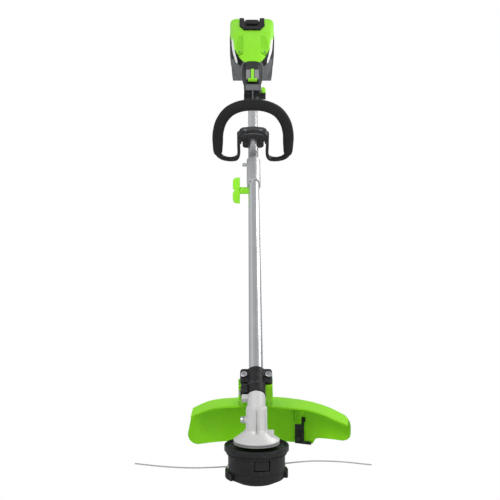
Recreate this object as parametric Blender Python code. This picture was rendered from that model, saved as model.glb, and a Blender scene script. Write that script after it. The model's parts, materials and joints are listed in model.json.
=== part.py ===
"""A cordless string trimmer with a split shaft, at its real size, in metres, +Z up.

The spool turns about the Z axis, and the origin is the centre of the bump knob's flat
bottom. The shaft rises towards +Y. Pieces on the shaft are written in the shaft's own
frame: x to the right, n out of the shaft's upper side, and t along the shaft from the
point where its axis meets the spool's axis.
"""

import math

import bmesh
import bpy
from mathutils import Matrix, Vector

# Fits
CLEAR = 0.0003
RUNNING = 0.0004
STEPS = 20
FINE_STEPS = 12
HEAD_STEPS = 28
WELD_DISTANCE = 0.000005

# Shaft
SHAFT_ANGLE = 40.4
TUBE_RADIUS = 0.013
TUBE_WALL = 0.0015
LOWER_TUBE_START = 0.021
LOWER_TUBE_END = 0.772
TUBE_GAP = 0.0015
UPPER_TUBE_START = LOWER_TUBE_END + TUBE_GAP
DRIVE_RADIUS = 0.004
BUSH_LENGTH = 0.016
SOCKET_RADIUS = 0.0085
SOCKET_LENGTH = 0.030
SQUARE_DRIVE = 0.0028

# Spool head, about the Z axis, turned as it stopped
HEAD_TURN = 10.6
KNOB_FACE_RADIUS = 0.026
KNOB_RADIUS = 0.0295
KNOB_HEIGHT = 0.0095
CAP_LIP_HEIGHT = 0.0016
CAP_EDGE_HEIGHT = 0.010
HEAD_WAIST_RADIUS = 0.049
HEAD_SPLIT_HEIGHT = 0.021
LOBE_RADIUS = 0.0545
LOBE_HALF_ANGLE = 26.0
HEAD_STEP_RADIUS = 0.0515
HEAD_STEP_HEIGHT = 0.048
HEAD_RIM_RADIUS = 0.056
HEAD_RIM_HEIGHT = 0.0545
HEAD_TOP_HEIGHT = 0.064
HEAD_WALL = 0.0028
TAB_WIDTH = 0.0268
TAB_LOW_HEIGHT = 0.0300
TAB_TOP_HEIGHT = 0.0475
TAB_SLIT = 0.0012
TAB_HOOK = 0.0024
SPOOL_FLANGE_RADIUS = 0.0445
SPOOL_HUB_RADIUS = 0.017
SPOOL_BOTTOM_HEIGHT = 0.0130
SPOOL_TOP_HEIGHT = 0.045
SPRING_COIL_RADIUS = 0.0115
SPRING_WIRE_RADIUS = 0.0008
SPRING_TURNS = 4
EYELET_HEIGHT = 0.028
EYELET_RADIUS = 0.0042
LINE_RADIUS = 0.0012
LINE_TIP_RADIUS = 0.2085

# Gearbox
SPINDLE_RADIUS = 0.005
HEAD_CLEARANCE = 0.0023
DUST_RING_HEIGHT = HEAD_TOP_HEIGHT + HEAD_CLEARANCE
DUST_RING_DEPTH = 0.0037
CONE_HEIGHT = DUST_RING_HEIGHT + DUST_RING_DEPTH
CONE_RADIUS = 0.040
CONE_RISE = 0.020
BODY_LOW_HEIGHT = CONE_HEIGHT + CONE_RISE
BODY_RADIUS = 0.0187
APEX_RISE = 0.030
APEX_HEIGHT = BODY_LOW_HEIGHT + APEX_RISE
GEAR_HEADROOM = 0.010
BODY_TOP_HEIGHT = APEX_HEIGHT + GEAR_HEADROOM
NECK_RADIUS = 0.0158
NECK_SHOULDER = 0.0340
NECK_END = 0.0540
BAND_WALL = 0.0022
EAR_LOW = -0.0080
EAR_HIGH = 0.0105
GEAR_TEETH = 19
PINION_TEETH = 14
CONE_DISTANCE = 0.0143
TOOTH_LENGTH = 0.0040
TOOTH_DEPTH = 0.0013
BEARING_WIDTH = 0.007

# Guard
GUARD_CLEARANCE = 0.0085
GUARD_RADIUS = LINE_TIP_RADIUS + GUARD_CLEARANCE
GUARD_WALL = 0.003
GUARD_CORNER = 0.012
GUARD_LEFT = 40.0
GUARD_RIGHT = 58.0
TONGUE_START = 0.0565
TONGUE_LEFT = -0.0325
TONGUE_RIGHT = 0.0315
CLAMP_START = 0.0560
CLAMP_LENGTH = 0.0335
CLAMP_WALL = 0.0027
EAR_THICKNESS = 0.008
EAR_REACH = 0.029
GUARD_BOLT_SPACING = 0.044
GUARD_BOLT_RADIUS = 0.0025
GUARD_BOLT_HEAD = 0.006
BLADE_ANGLE = 24.7
BLADE_WIDTH = 0.0185
BLADE_THICKNESS = 0.002
BLADE_TOE = 0.016
BLADE_LOW = 0.015
BLADE_HIGH = 0.053
BLADE_SEAT = 0.041
BOSS_TOP = 0.0955
BLADE_EDGE_RADIUS = LINE_TIP_RADIUS + 0.001

# Coupler
COUPLER_START = 0.668
COUPLER_END = 0.796
COUPLER_RADIUS = 0.017
COUPLER_DEPTH = 0.030
COUPLER_EAR_HALF = 0.0085
COUPLER_SLANT = 0.015
COUPLER_SLOT = 0.003
COUPLER_SLOT_END = 0.735
KNOB_T = 0.682
KNOB_N = -0.0215
WING_REACH = 0.0315
WING_INNER = 0.0335
WING_OUTER = 0.0510
WING_HALF = 0.0085
STUD_RADIUS = 0.0030
KNOB_HUB_RADIUS = 0.0085
NUT_RADIUS = 0.0055
PIN_T = 0.762
PIN_RADIUS = 0.0030
PIN_HEAD_RADIUS = 0.0044

# Loop handle
LOOP_T = 0.905
LOOP_TOP = 0.0895
LOOP_SIDE = 0.0945
LOOP_BOTTOM = 0.0765
LEG_X = 0.0385
GRIP_RADIUS = 0.0146
CORE_RADIUS = 0.0088
LOOP_SIDES = 8
BAR_RADIUS = 0.0056
LEG_HALF_DEPTH = 0.0125
SADDLE_WIDTH = 0.078
SADDLE_LENGTH = 0.035
SADDLE_SETBACK = 0.018
SADDLE_TOP = 0.025
LOWER_CLAMP_WIDTH = 0.056
SCREW_SPACING_X = 0.040
SCREW_OFFSET_T = 0.004
SCREW_RADIUS = 0.0022

# Rear handle
NOSE_T = 1.045
NOSE_LENGTH = 0.051
COLLAR_T = NOSE_T + NOSE_LENGTH
TUBE_GRIP = 0.016
UPPER_TUBE_END = COLLAR_T + TUBE_GRIP
COLLAR_LENGTH = 0.054
COLLAR_END = COLLAR_T + COLLAR_LENGTH
GRIP_LENGTH = 0.1265
HANDLE_END = COLLAR_END + GRIP_LENGTH
LEVER_START = COLLAR_END + 0.003
LEVER_REACH = 0.079
LEVER_PIVOT_T = LEVER_START + LEVER_REACH
LEVER_PIVOT_N = 0.0175
LEVER_WIDTH = 0.010
LEVER_BASE_WIDTH = 0.026
TRIGGER_SETBACK = 0.020
TRIGGER_PIVOT_T = COLLAR_END + TRIGGER_SETBACK
TRIGGER_PIVOT_N = -0.021
TRIGGER_WIDTH = 0.014
PIVOT_RADIUS = 0.0020
DIAL_SETBACK = 0.016
DIAL_T = COLLAR_END - DIAL_SETBACK
DIAL_RADIUS = 0.0165
DIAL_INNER = 0.0265
DIAL_OUTER = 0.0380

# Power head
HANDLE_GAP = 0.0015
HOUSING_START = HANDLE_END + HANDLE_GAP
HOUSING_LENGTH = 0.232
HOUSING_END = HOUSING_START + HOUSING_LENGTH
SPLIT_N = 0.025
MOTOR_RADIUS = 0.031
MOTOR_SETBACK = 0.022
MOTOR_START = HOUSING_START + MOTOR_SETBACK
MOTOR_LENGTH = 0.080
MOTOR_END = MOTOR_START + MOTOR_LENGTH
BAY_WALL = 0.020
BAY_START = MOTOR_END + BAY_WALL
BAY_HALF_WIDTH = 0.0425
BAY_TOP = 0.0500
BAY_BOTTOM = -0.0400
BATTERY_TAIL = 0.026
BATTERY_END = HOUSING_END + BATTERY_TAIL
BATTERY_GAP = 0.0010
BEZEL_SETBACK = 0.025
BEZEL_START = BAY_START + BEZEL_SETBACK
BEZEL_FRONT_HALF = 0.0250
BEZEL_REAR_HALF = 0.0400
LATCH_HALF = 0.017
BOARD_HALF = 0.037
BOARD_FLOOR = -0.056
BOARD_SETBACK = 0.030
BOARD_START = MOTOR_START + BOARD_SETBACK
TERMINAL_HALF = 0.020
TERMINAL_LOW = -0.030
TERMINAL_HIGH = -0.010
TERMINAL_REACH = 0.006

# Colours, roughness and metal
LOOKS = {
    "green": ((0.30, 0.78, 0.045), 0.35, 0.0),
    "guard_green": ((0.20, 0.60, 0.02), 0.42, 0.0),
    "black": ((0.028, 0.028, 0.03), 0.5, 0.0),
    "soft_black": ((0.022, 0.022, 0.023), 0.75, 0.0),
    "grey": ((0.16, 0.16, 0.165), 0.5, 0.0),
    "tube": ((0.66, 0.66, 0.67), 0.3, 1.0),
    "cast": ((0.62, 0.62, 0.61), 0.45, 0.6),
    "coupler": ((0.42, 0.42, 0.42), 0.4, 0.8),
    "steel": ((0.60, 0.60, 0.61), 0.25, 1.0),
    "copper": ((0.72, 0.36, 0.18), 0.35, 1.0),
    "line": ((0.42, 0.42, 0.43), 0.45, 0.0),
    "board": ((0.03, 0.18, 0.07), 0.5, 0.0),
}


def material(look):
    """The Principled material of that name, made once."""
    found = bpy.data.materials.get(look)
    if found:
        return found
    colour, roughness, metallic = LOOKS[look]
    made = bpy.data.materials.new(look)
    made.use_nodes = True
    shader = made.node_tree.nodes["Principled BSDF"]
    shader.inputs["Base Color"].default_value = (*colour, 1.0)
    shader.inputs["Roughness"].default_value = roughness
    shader.inputs["Metallic"].default_value = metallic
    return made


def place(name, bm, look, parent=None, at=(0.0, 0.0, 0.0)):
    """One named object from a closed bmesh written in its parent's frame, with its origin at at."""
    bmesh.ops.connect_verts_nonplanar(bm, angle_limit=0.0001, faces=bm.faces[:])
    bmesh.ops.recalc_face_normals(bm, faces=bm.faces[:])
    bmesh.ops.translate(bm, vec=-Vector(at), verts=bm.verts[:])
    mesh = bpy.data.meshes.new(name)
    bm.to_mesh(mesh)
    bm.free()
    mesh.materials.append(material(look))
    mesh.shade_smooth()
    mesh.set_sharp_from_angle(angle=math.radians(32.0))
    made = bpy.data.objects.new(name, mesh)
    bpy.context.scene.collection.objects.link(made)
    made.parent = parent
    made.location = at
    return made


def tool(bm, parent=None):
    """A hidden solid that shapes another piece."""
    made = place("tool", bm, "grey", parent)
    made.hide_render = True
    made.display_type = "WIRE"
    return made


def shape_with(piece, operation, bm, parent=None):
    """Adds one Boolean to piece: DIFFERENCE, UNION or INTERSECT with the solid in bm."""
    step = piece.modifiers.new(operation.lower(), "BOOLEAN")
    step.operation = operation
    step.solver = "EXACT"
    step.object = tool(bm, parent)
    weld = piece.modifiers.new("weld", "WELD")
    weld.merge_threshold = WELD_DISTANCE


def cut(piece, bm, parent=None):
    shape_with(piece, "DIFFERENCE", bm, parent)


def join(piece, bm, parent=None):
    shape_with(piece, "UNION", bm, parent)


def rounded(piece, width, segments=1, angle=40.0):
    """A small round on the piece's sharp edges."""
    edge = piece.modifiers.new("edge", "BEVEL")
    edge.width = width
    edge.segments = segments
    edge.limit_method = "ANGLE"
    edge.angle_limit = math.radians(angle)


def shaft_point(x, n, t):
    """A point of the shaft's frame in the shaft empty's own axes."""
    return Vector((x, -n, t))


def world_of(x, n, t):
    """The same point in the world."""
    angle = math.radians(SHAFT_ANGLE)
    across = t * math.cos(angle) - n * math.sin(angle)
    return Vector((x, across, APEX_HEIGHT + t * math.sin(angle) + n * math.cos(angle)))


def towards(direction, at):
    """A frame at at whose Z axis runs along direction."""
    turn = Vector(direction).to_track_quat("Z", "Y").to_matrix().to_4x4()
    return Matrix.Translation(at) @ turn


def bridge(bm, rows, closed):
    """Faces between each row of points and the next; a row of one point is a pole."""
    pairs = list(zip(rows, rows[1:]))
    if closed:
        pairs.append((rows[-1], rows[0]))
    count = max(len(row) for row in rows)
    for low, high in pairs:
        for i in range(count):
            j = (i + 1) % count
            corners = [low[i % len(low)], low[j % len(low)], high[j % len(high)], high[i % len(high)]]
            face = list(dict.fromkeys(corners))
            if len(face) > 2:
                bm.faces.new(face)


def turned(profile, steps=STEPS, closed=False, frame=None):
    """A profile of (radius, height) points turned about Z; closed makes a ring with a bore."""
    bm = bmesh.new()
    rows = []
    for radius, height in profile:
        if radius <= 0.0:
            rows.append([bm.verts.new((0.0, 0.0, height))])
            continue
        turns = [2.0 * math.pi * i / steps for i in range(steps)]
        rows.append([bm.verts.new((radius * math.cos(a), radius * math.sin(a), height)) for a in turns])
    bridge(bm, rows, closed)
    if frame is not None:
        bm.transform(frame)
    return bm


def rod(radius, low, high, steps=STEPS, frame=None, chamfer=0.0):
    """A solid cylinder along Z, with chamfered ends where one is asked for."""
    profile = [(0.0, low)]
    if chamfer:
        profile += [(radius - chamfer, low), (radius, low + chamfer)]
        profile += [(radius, high - chamfer), (radius - chamfer, high)]
    else:
        profile += [(radius, low), (radius, high)]
    profile.append((0.0, high))
    return turned(profile, steps, frame=frame)


def pipe(outer, inner, low, high, steps=STEPS, frame=None):
    """A hollow cylinder along Z."""
    return turned([(inner, low), (outer, low), (outer, high), (inner, high)], steps, True, frame)


def lofted(rings, closed=False):
    """A solid through rings of equally many points, with flat ends unless it closes on itself."""
    bm = bmesh.new()
    rows = [[bm.verts.new(point) for point in ring] for ring in rings]
    bridge(bm, rows, closed)
    if not closed:
        bm.faces.new(rows[0])
        bm.faces.new(rows[-1])
    return bm


def slab_t(outline, low, high):
    """An outline of (x, n) points drawn out along the shaft."""
    return lofted([[shaft_point(x, n, t) for x, n in outline] for t in (low, high)])


def slab_n(outline, low, high):
    """An outline of (x, t) points drawn out away from the shaft."""
    return lofted([[shaft_point(x, n, t) for x, t in outline] for n in (low, high)])


def slab_x(outline, low, high):
    """An outline of (n, t) points drawn out sideways."""
    return lofted([[shaft_point(x, n, t) for n, t in outline] for x in (low, high)])


def block(x, n, t):
    """A box from three (low, high) pairs in the shaft's frame."""
    return slab_t([(x[0], n[0]), (x[1], n[0]), (x[1], n[1]), (x[0], n[1])], *t)


def arc(centre, radius, first, last, count):
    """Points on an arc, angles in degrees."""
    turns = [math.radians(first + (last - first) * i / (count - 1)) for i in range(count)]
    return [(centre[0] + radius * math.cos(a), centre[1] + radius * math.sin(a)) for a in turns]


def round_box(low, high, radius, count=4):
    """The outline of a box with round corners, from its lowest and highest corner."""
    corners = ((high[0], high[1], 0), (low[0], high[1], 90), (low[0], low[1], 180), (high[0], low[1], 270))
    points = []
    for a, b, start in corners:
        inside = (a - math.copysign(radius, a - low[0] - radius),
                  b - math.copysign(radius, b - low[1] - radius))
        points += arc(inside, radius, start, start + 90, count)
    return points


def oval(half_width, top, bottom, power, count=22):
    """A squared oval of (x, n) points that reaches from bottom to top."""
    middle = (top + bottom) / 2.0
    half_height = (top - bottom) / 2.0
    points = []
    for i in range(count):
        a = 2.0 * math.pi * (i + 0.5) / count
        c = math.copysign(abs(math.cos(a)) ** (2.0 / power), math.cos(a))
        s = math.copysign(abs(math.sin(a)) ** (2.0 / power), math.sin(a))
        points.append((half_width * c, middle + half_height * s))
    return points


def smooth(points, per_span):
    """Points on a smooth curve through the given ones."""
    ends = [points[0] * 2.0 - points[1], *points, points[-1] * 2.0 - points[-2]]
    line = []
    for a, b, c, d in zip(ends, ends[1:], ends[2:], ends[3:]):
        for i in range(per_span):
            u = i / per_span
            bend = 2.0 * a - 5.0 * b + 4.0 * c - d
            twist = 3.0 * b - a - 3.0 * c + d
            line.append((2.0 * b + (c - a) * u + bend * u * u + twist * u ** 3) / 2.0)
    return [*line, points[-1]]


def between(table, at):
    """The value at at of a table of (place, value) pairs, on a smooth curve through them."""
    spans = list(zip(table, table[1:]))
    i = next((k for k, (low, high) in enumerate(spans) if at <= high[0]), len(spans) - 1)
    (a, low), (b, high) = spans[i]
    slopes = [(v - u) / (q - p) for (p, u), (q, v) in spans]
    first = (slopes[max(i - 1, 0)] + slopes[i]) / 2.0
    last = (slopes[i] + slopes[min(i + 1, len(slopes) - 1)]) / 2.0
    u = (at - a) / (b - a)
    bend = low * (1.0 + 2.0 * u) * (1.0 - u) ** 2 + high * u * u * (3.0 - 2.0 * u)
    return bend + (b - a) * u * (1.0 - u) * (first * (1.0 - u) - last * u)


def clear_scene():
    for old in list(bpy.data.objects):
        bpy.data.objects.remove(old, do_unlink=True)


def shaft_frame():
    """The empty that carries everything on the shaft."""
    frame = bpy.data.objects.new("shaft", None)
    bpy.context.scene.collection.objects.link(frame)
    frame.location = (0.0, 0.0, APEX_HEIGHT)
    frame.rotation_euler = (math.radians(SHAFT_ANGLE - 90.0), 0.0, 0.0)
    return frame


def head_frame():
    """The empty that carries the spool head, turned about Z as it stopped."""
    frame = bpy.data.objects.new("head", None)
    bpy.context.scene.collection.objects.link(frame)
    frame.rotation_euler = (0.0, 0.0, math.radians(HEAD_TURN))
    return frame


def sector(inner, outer, low, high, middle, half, steps=8):
    """A curved plate about Z from its radii, heights, middle angle and half angle in degrees."""
    corners = ((inner, low), (outer, low), (outer, high), (inner, high))
    rings = []
    for i in range(steps + 1):
        a = math.radians(middle - half + 2.0 * half * i / steps)
        rings.append([(r * math.cos(a), r * math.sin(a), z) for r, z in corners])
    return lofted(rings)


def spool_head(head):
    """The cup that spins, its snap-in cap, and the spool and knob that slide up in it."""
    inner = HEAD_WAIST_RADIUS - HEAD_WALL
    ceiling = HEAD_TOP_HEIGHT - 0.007
    housing = place("spool_housing", turned([
        (inner, HEAD_SPLIT_HEIGHT + CLEAR),
        (HEAD_WAIST_RADIUS, HEAD_SPLIT_HEIGHT + CLEAR),
        (HEAD_WAIST_RADIUS, HEAD_STEP_HEIGHT),
        (HEAD_STEP_RADIUS, HEAD_STEP_HEIGHT + 0.0008),
        (HEAD_STEP_RADIUS, HEAD_RIM_HEIGHT),
        (HEAD_RIM_RADIUS, HEAD_RIM_HEIGHT + 0.0008),
        (HEAD_RIM_RADIUS, HEAD_TOP_HEIGHT - 0.0008),
        (HEAD_RIM_RADIUS - 0.0008, HEAD_TOP_HEIGHT),
        (HEAD_RIM_RADIUS - HEAD_WALL, HEAD_TOP_HEIGHT),
        (HEAD_RIM_RADIUS - HEAD_WALL - 0.0006, ceiling + HEAD_WALL),
        (SPINDLE_RADIUS + CLEAR, ceiling + HEAD_WALL),
        (SPINDLE_RADIUS + CLEAR, ceiling - 0.004),
        (SPINDLE_RADIUS + 0.004, ceiling - 0.004),
        (SPINDLE_RADIUS + 0.004, ceiling),
        (inner, ceiling),
    ], HEAD_STEPS, True), "black", head)
    tab_half = math.degrees(TAB_WIDTH / 2.0 / HEAD_WAIST_RADIUS)
    slit = math.degrees(TAB_SLIT / 2.0 / HEAD_WAIST_RADIUS)
    hook = math.degrees(TAB_HOOK / 2.0 / HEAD_WAIST_RADIUS)
    through = (inner - 0.004, HEAD_WAIST_RADIUS + 0.0045)
    for middle in (-90.0, 90.0):
        cut(housing, sector(*through, TAB_LOW_HEIGHT, TAB_LOW_HEIGHT + TAB_SLIT, middle, tab_half, 4), head)
        for side in (-1.0, 1.0):
            upright = middle + side * (tab_half - slit)
            cut(housing, sector(*through, TAB_LOW_HEIGHT + 0.0001, TAB_TOP_HEIGHT - 0.0001, upright, slit, 1),
                head)
            hooked = middle + side * (tab_half - hook)
            cut(housing, sector(*through, TAB_TOP_HEIGHT - TAB_SLIT, TAB_TOP_HEIGHT, hooked, hook, 1), head)
    for side in (-1.0, 1.0):
        hole = towards((side, 0.0, 0.0), (side * inner * 0.95, 0.0, EYELET_HEIGHT))
        cut(housing, rod(EYELET_RADIUS - 0.001 + CLEAR, 0.0, 0.012, FINE_STEPS, hole), head)

    knob_hole = KNOB_RADIUS + RUNNING
    cap = place("spool_cap", turned([
        (knob_hole, CAP_LIP_HEIGHT),
        (knob_hole + 0.003, CAP_LIP_HEIGHT),
        (HEAD_WAIST_RADIUS, CAP_EDGE_HEIGHT - 0.0005),
        (HEAD_WAIST_RADIUS, HEAD_SPLIT_HEIGHT),
        (inner - CLEAR, HEAD_SPLIT_HEIGHT),
        (inner - CLEAR, HEAD_SPLIT_HEIGHT + 0.003),
        (inner - CLEAR - 0.0016, HEAD_SPLIT_HEIGHT + 0.003),
        (inner - CLEAR - 0.0016, CAP_EDGE_HEIGHT + HEAD_WALL - 0.0008),
        (knob_hole + 0.003, CAP_LIP_HEIGHT + HEAD_WALL),
        (knob_hole, CAP_LIP_HEIGHT + HEAD_WALL),
    ], HEAD_STEPS, True), "black", head)
    for middle in (0.0, 180.0):
        join(cap, sector(HEAD_WAIST_RADIUS - 0.0015, LOBE_RADIUS, CAP_EDGE_HEIGHT - 0.0003,
                         HEAD_SPLIT_HEIGHT - 0.0006, middle, LOBE_HALF_ANGLE, 6), head)
    for middle in (-90.0, 90.0):
        join(cap, sector(inner - CLEAR - 0.0013, inner - 2.0 * CLEAR, CAP_EDGE_HEIGHT + 0.004,
                         SPOOL_TOP_HEIGHT - 0.005, middle, tab_half - 3.0, 4), head)

    flange_low = KNOB_HEIGHT
    place("bump_knob", turned([
        (0.0, 0.0), (KNOB_FACE_RADIUS, 0.0), (KNOB_RADIUS - 0.0008, 0.0018), (KNOB_RADIUS, 0.0040),
        (KNOB_RADIUS, flange_low), (SPOOL_HUB_RADIUS, flange_low),
        (SPOOL_HUB_RADIUS, SPOOL_BOTTOM_HEIGHT - CLEAR), (0.0, SPOOL_BOTTOM_HEIGHT - CLEAR),
    ], HEAD_STEPS), "black", head)
    spring_well = SPRING_COIL_RADIUS + 2.0 * SPRING_WIRE_RADIUS + CLEAR
    spring_floor = SPOOL_TOP_HEIGHT - 0.014
    place("spool", turned([
        (0.0, SPOOL_BOTTOM_HEIGHT), (SPOOL_FLANGE_RADIUS - 0.003, SPOOL_BOTTOM_HEIGHT + 0.0005),
        (SPOOL_FLANGE_RADIUS - 0.003, SPOOL_BOTTOM_HEIGHT + 0.0025),
        (SPOOL_HUB_RADIUS, SPOOL_BOTTOM_HEIGHT + 0.0025),
        (SPOOL_HUB_RADIUS, SPOOL_TOP_HEIGHT - 0.002), (SPOOL_FLANGE_RADIUS, SPOOL_TOP_HEIGHT - 0.002),
        (SPOOL_FLANGE_RADIUS, SPOOL_TOP_HEIGHT), (spring_well, SPOOL_TOP_HEIGHT),
        (spring_well, spring_floor), (0.0, spring_floor),
    ], HEAD_STEPS), "grey", head)
    winding_low = SPOOL_BOTTOM_HEIGHT + 0.0025 + CLEAR
    winding_high = SPOOL_TOP_HEIGHT - 0.002 - CLEAR
    place("wound_line", turned([
        (SPOOL_HUB_RADIUS + CLEAR, winding_low), (SPOOL_FLANGE_RADIUS - 0.010, winding_low),
        (SPOOL_FLANGE_RADIUS - 0.008, (winding_low + winding_high) / 2.0),
        (SPOOL_FLANGE_RADIUS - 0.010, winding_high), (SPOOL_HUB_RADIUS + CLEAR, winding_high),
    ], HEAD_STEPS, True), "line", head)
    spool_spring(head, spring_floor + CLEAR, ceiling - CLEAR)
    for name, side in (("eyelet_left", -1.0), ("eyelet_right", 1.0)):
        frame = towards((side, 0.0, 0.0), (side * HEAD_WAIST_RADIUS, 0.0, EYELET_HEIGHT))
        place(name, turned([
            (LINE_RADIUS + CLEAR, -0.0030), (EYELET_RADIUS - 0.001, -0.0030),
            (EYELET_RADIUS - 0.001, 0.0004), (EYELET_RADIUS, 0.0004),
            (EYELET_RADIUS, 0.0012), (EYELET_RADIUS - 0.0008, 0.0018), (LINE_RADIUS + CLEAR, 0.0018),
        ], FINE_STEPS, True, frame), "steel", head)


def spool_spring(head, low, high):
    """The round-wire spring between the spool and the cup's ceiling."""
    curve = bpy.data.curves.new("spool_spring", "CURVE")
    curve.dimensions = "3D"
    spline = curve.splines.new("POLY")
    per_turn = 8
    count = SPRING_TURNS * per_turn + 1
    spline.points.add(count - 1)
    low += SPRING_WIRE_RADIUS
    high -= SPRING_WIRE_RADIUS
    for i, point in enumerate(spline.points):
        a = 2.0 * math.pi * i / per_turn
        height = low + (high - low) * i / (count - 1)
        point.co = (SPRING_COIL_RADIUS * math.cos(a), SPRING_COIL_RADIUS * math.sin(a), height, 1.0)
    curve.bevel_depth = SPRING_WIRE_RADIUS
    curve.bevel_resolution = 0
    curve.use_fill_caps = True
    curve.materials.append(material("steel"))
    made = bpy.data.objects.new("spool_spring", curve)
    bpy.context.scene.collection.objects.link(made)
    made.parent = head


# The free line's routes in the head's frame: distance from the axis, sideways, height.
LEFT_ROUTE = ((0.0512, 0.0, 0.0280), (0.060, 0.0002, 0.0281), (0.080, 0.0009, 0.0284),
              (0.115, 0.0020, 0.0300), (0.160, 0.0018, 0.0346), (LINE_TIP_RADIUS, -0.0010, 0.0415))
RIGHT_ROUTE = ((0.0512, 0.0, 0.0280), (0.060, 0.0002, 0.0283), (0.078, 0.0010, 0.0289),
               (0.110, 0.0024, 0.0284), (0.155, 0.0022, 0.0245), (LINE_TIP_RADIUS, -0.0012, 0.0172))


def cutting_line(name, route, side, head):
    """One free end of the cutting line, out of its eyelet."""
    points = smooth([Vector((side * x, side * y, z)) for x, y, z in route], 4)
    curve = bpy.data.curves.new(name, "CURVE")
    curve.dimensions = "3D"
    spline = curve.splines.new("POLY")
    spline.points.add(len(points) - 1)
    for point, at in zip(spline.points, points):
        point.co = (*at, 1.0)
    curve.bevel_depth = LINE_RADIUS
    curve.bevel_resolution = 2
    curve.use_fill_caps = True
    curve.materials.append(material("line"))
    made = bpy.data.objects.new(name, curve)
    bpy.context.scene.collection.objects.link(made)
    made.parent = head


def bevel_gear(teeth, cone_angle, bore, hub_depth):
    """A bevel gear with its pitch cone's point at the origin, opening along +Z."""
    bm = bmesh.new()
    back, front = CONE_DISTANCE, CONE_DISTANCE - TOOTH_LENGTH
    c, s = math.cos(cone_angle), math.sin(cone_angle)
    pitch = 2.0 * math.pi / teeth
    quarter = (-0.29, -0.12, 0.12, 0.29)
    rises = (-1.0, 0.55, 0.55, -1.0)
    rows = []
    for distance in (back, front):
        scale = distance / back
        row = []
        for k in range(teeth):
            for share, rise in zip(quarter, rises):
                a = pitch * (k + share)
                height = TOOTH_DEPTH * scale * rise
                radius = distance * s + height * c
                along = distance * c - height * s
                row.append(bm.verts.new((radius * math.cos(a), radius * math.sin(a), along)))
        rows.append(row)
    root = rows[0]
    count = len(root)
    turns = [2.0 * math.pi * i / count for i in range(count)]
    behind = back * c + hub_depth
    hub = back * s - 2.2 * TOOTH_DEPTH
    front_height = front * c - 0.0002
    hub_row = [bm.verts.new((hub * math.cos(a), hub * math.sin(a), behind)) for a in turns]
    bore_back = [bm.verts.new((bore * math.cos(a), bore * math.sin(a), behind)) for a in turns]
    bore_front = [bm.verts.new((bore * math.cos(a), bore * math.sin(a), front_height)) for a in turns]
    bridge(bm, [bore_front, rows[1], root, hub_row, bore_back], True)
    return bm


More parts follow.
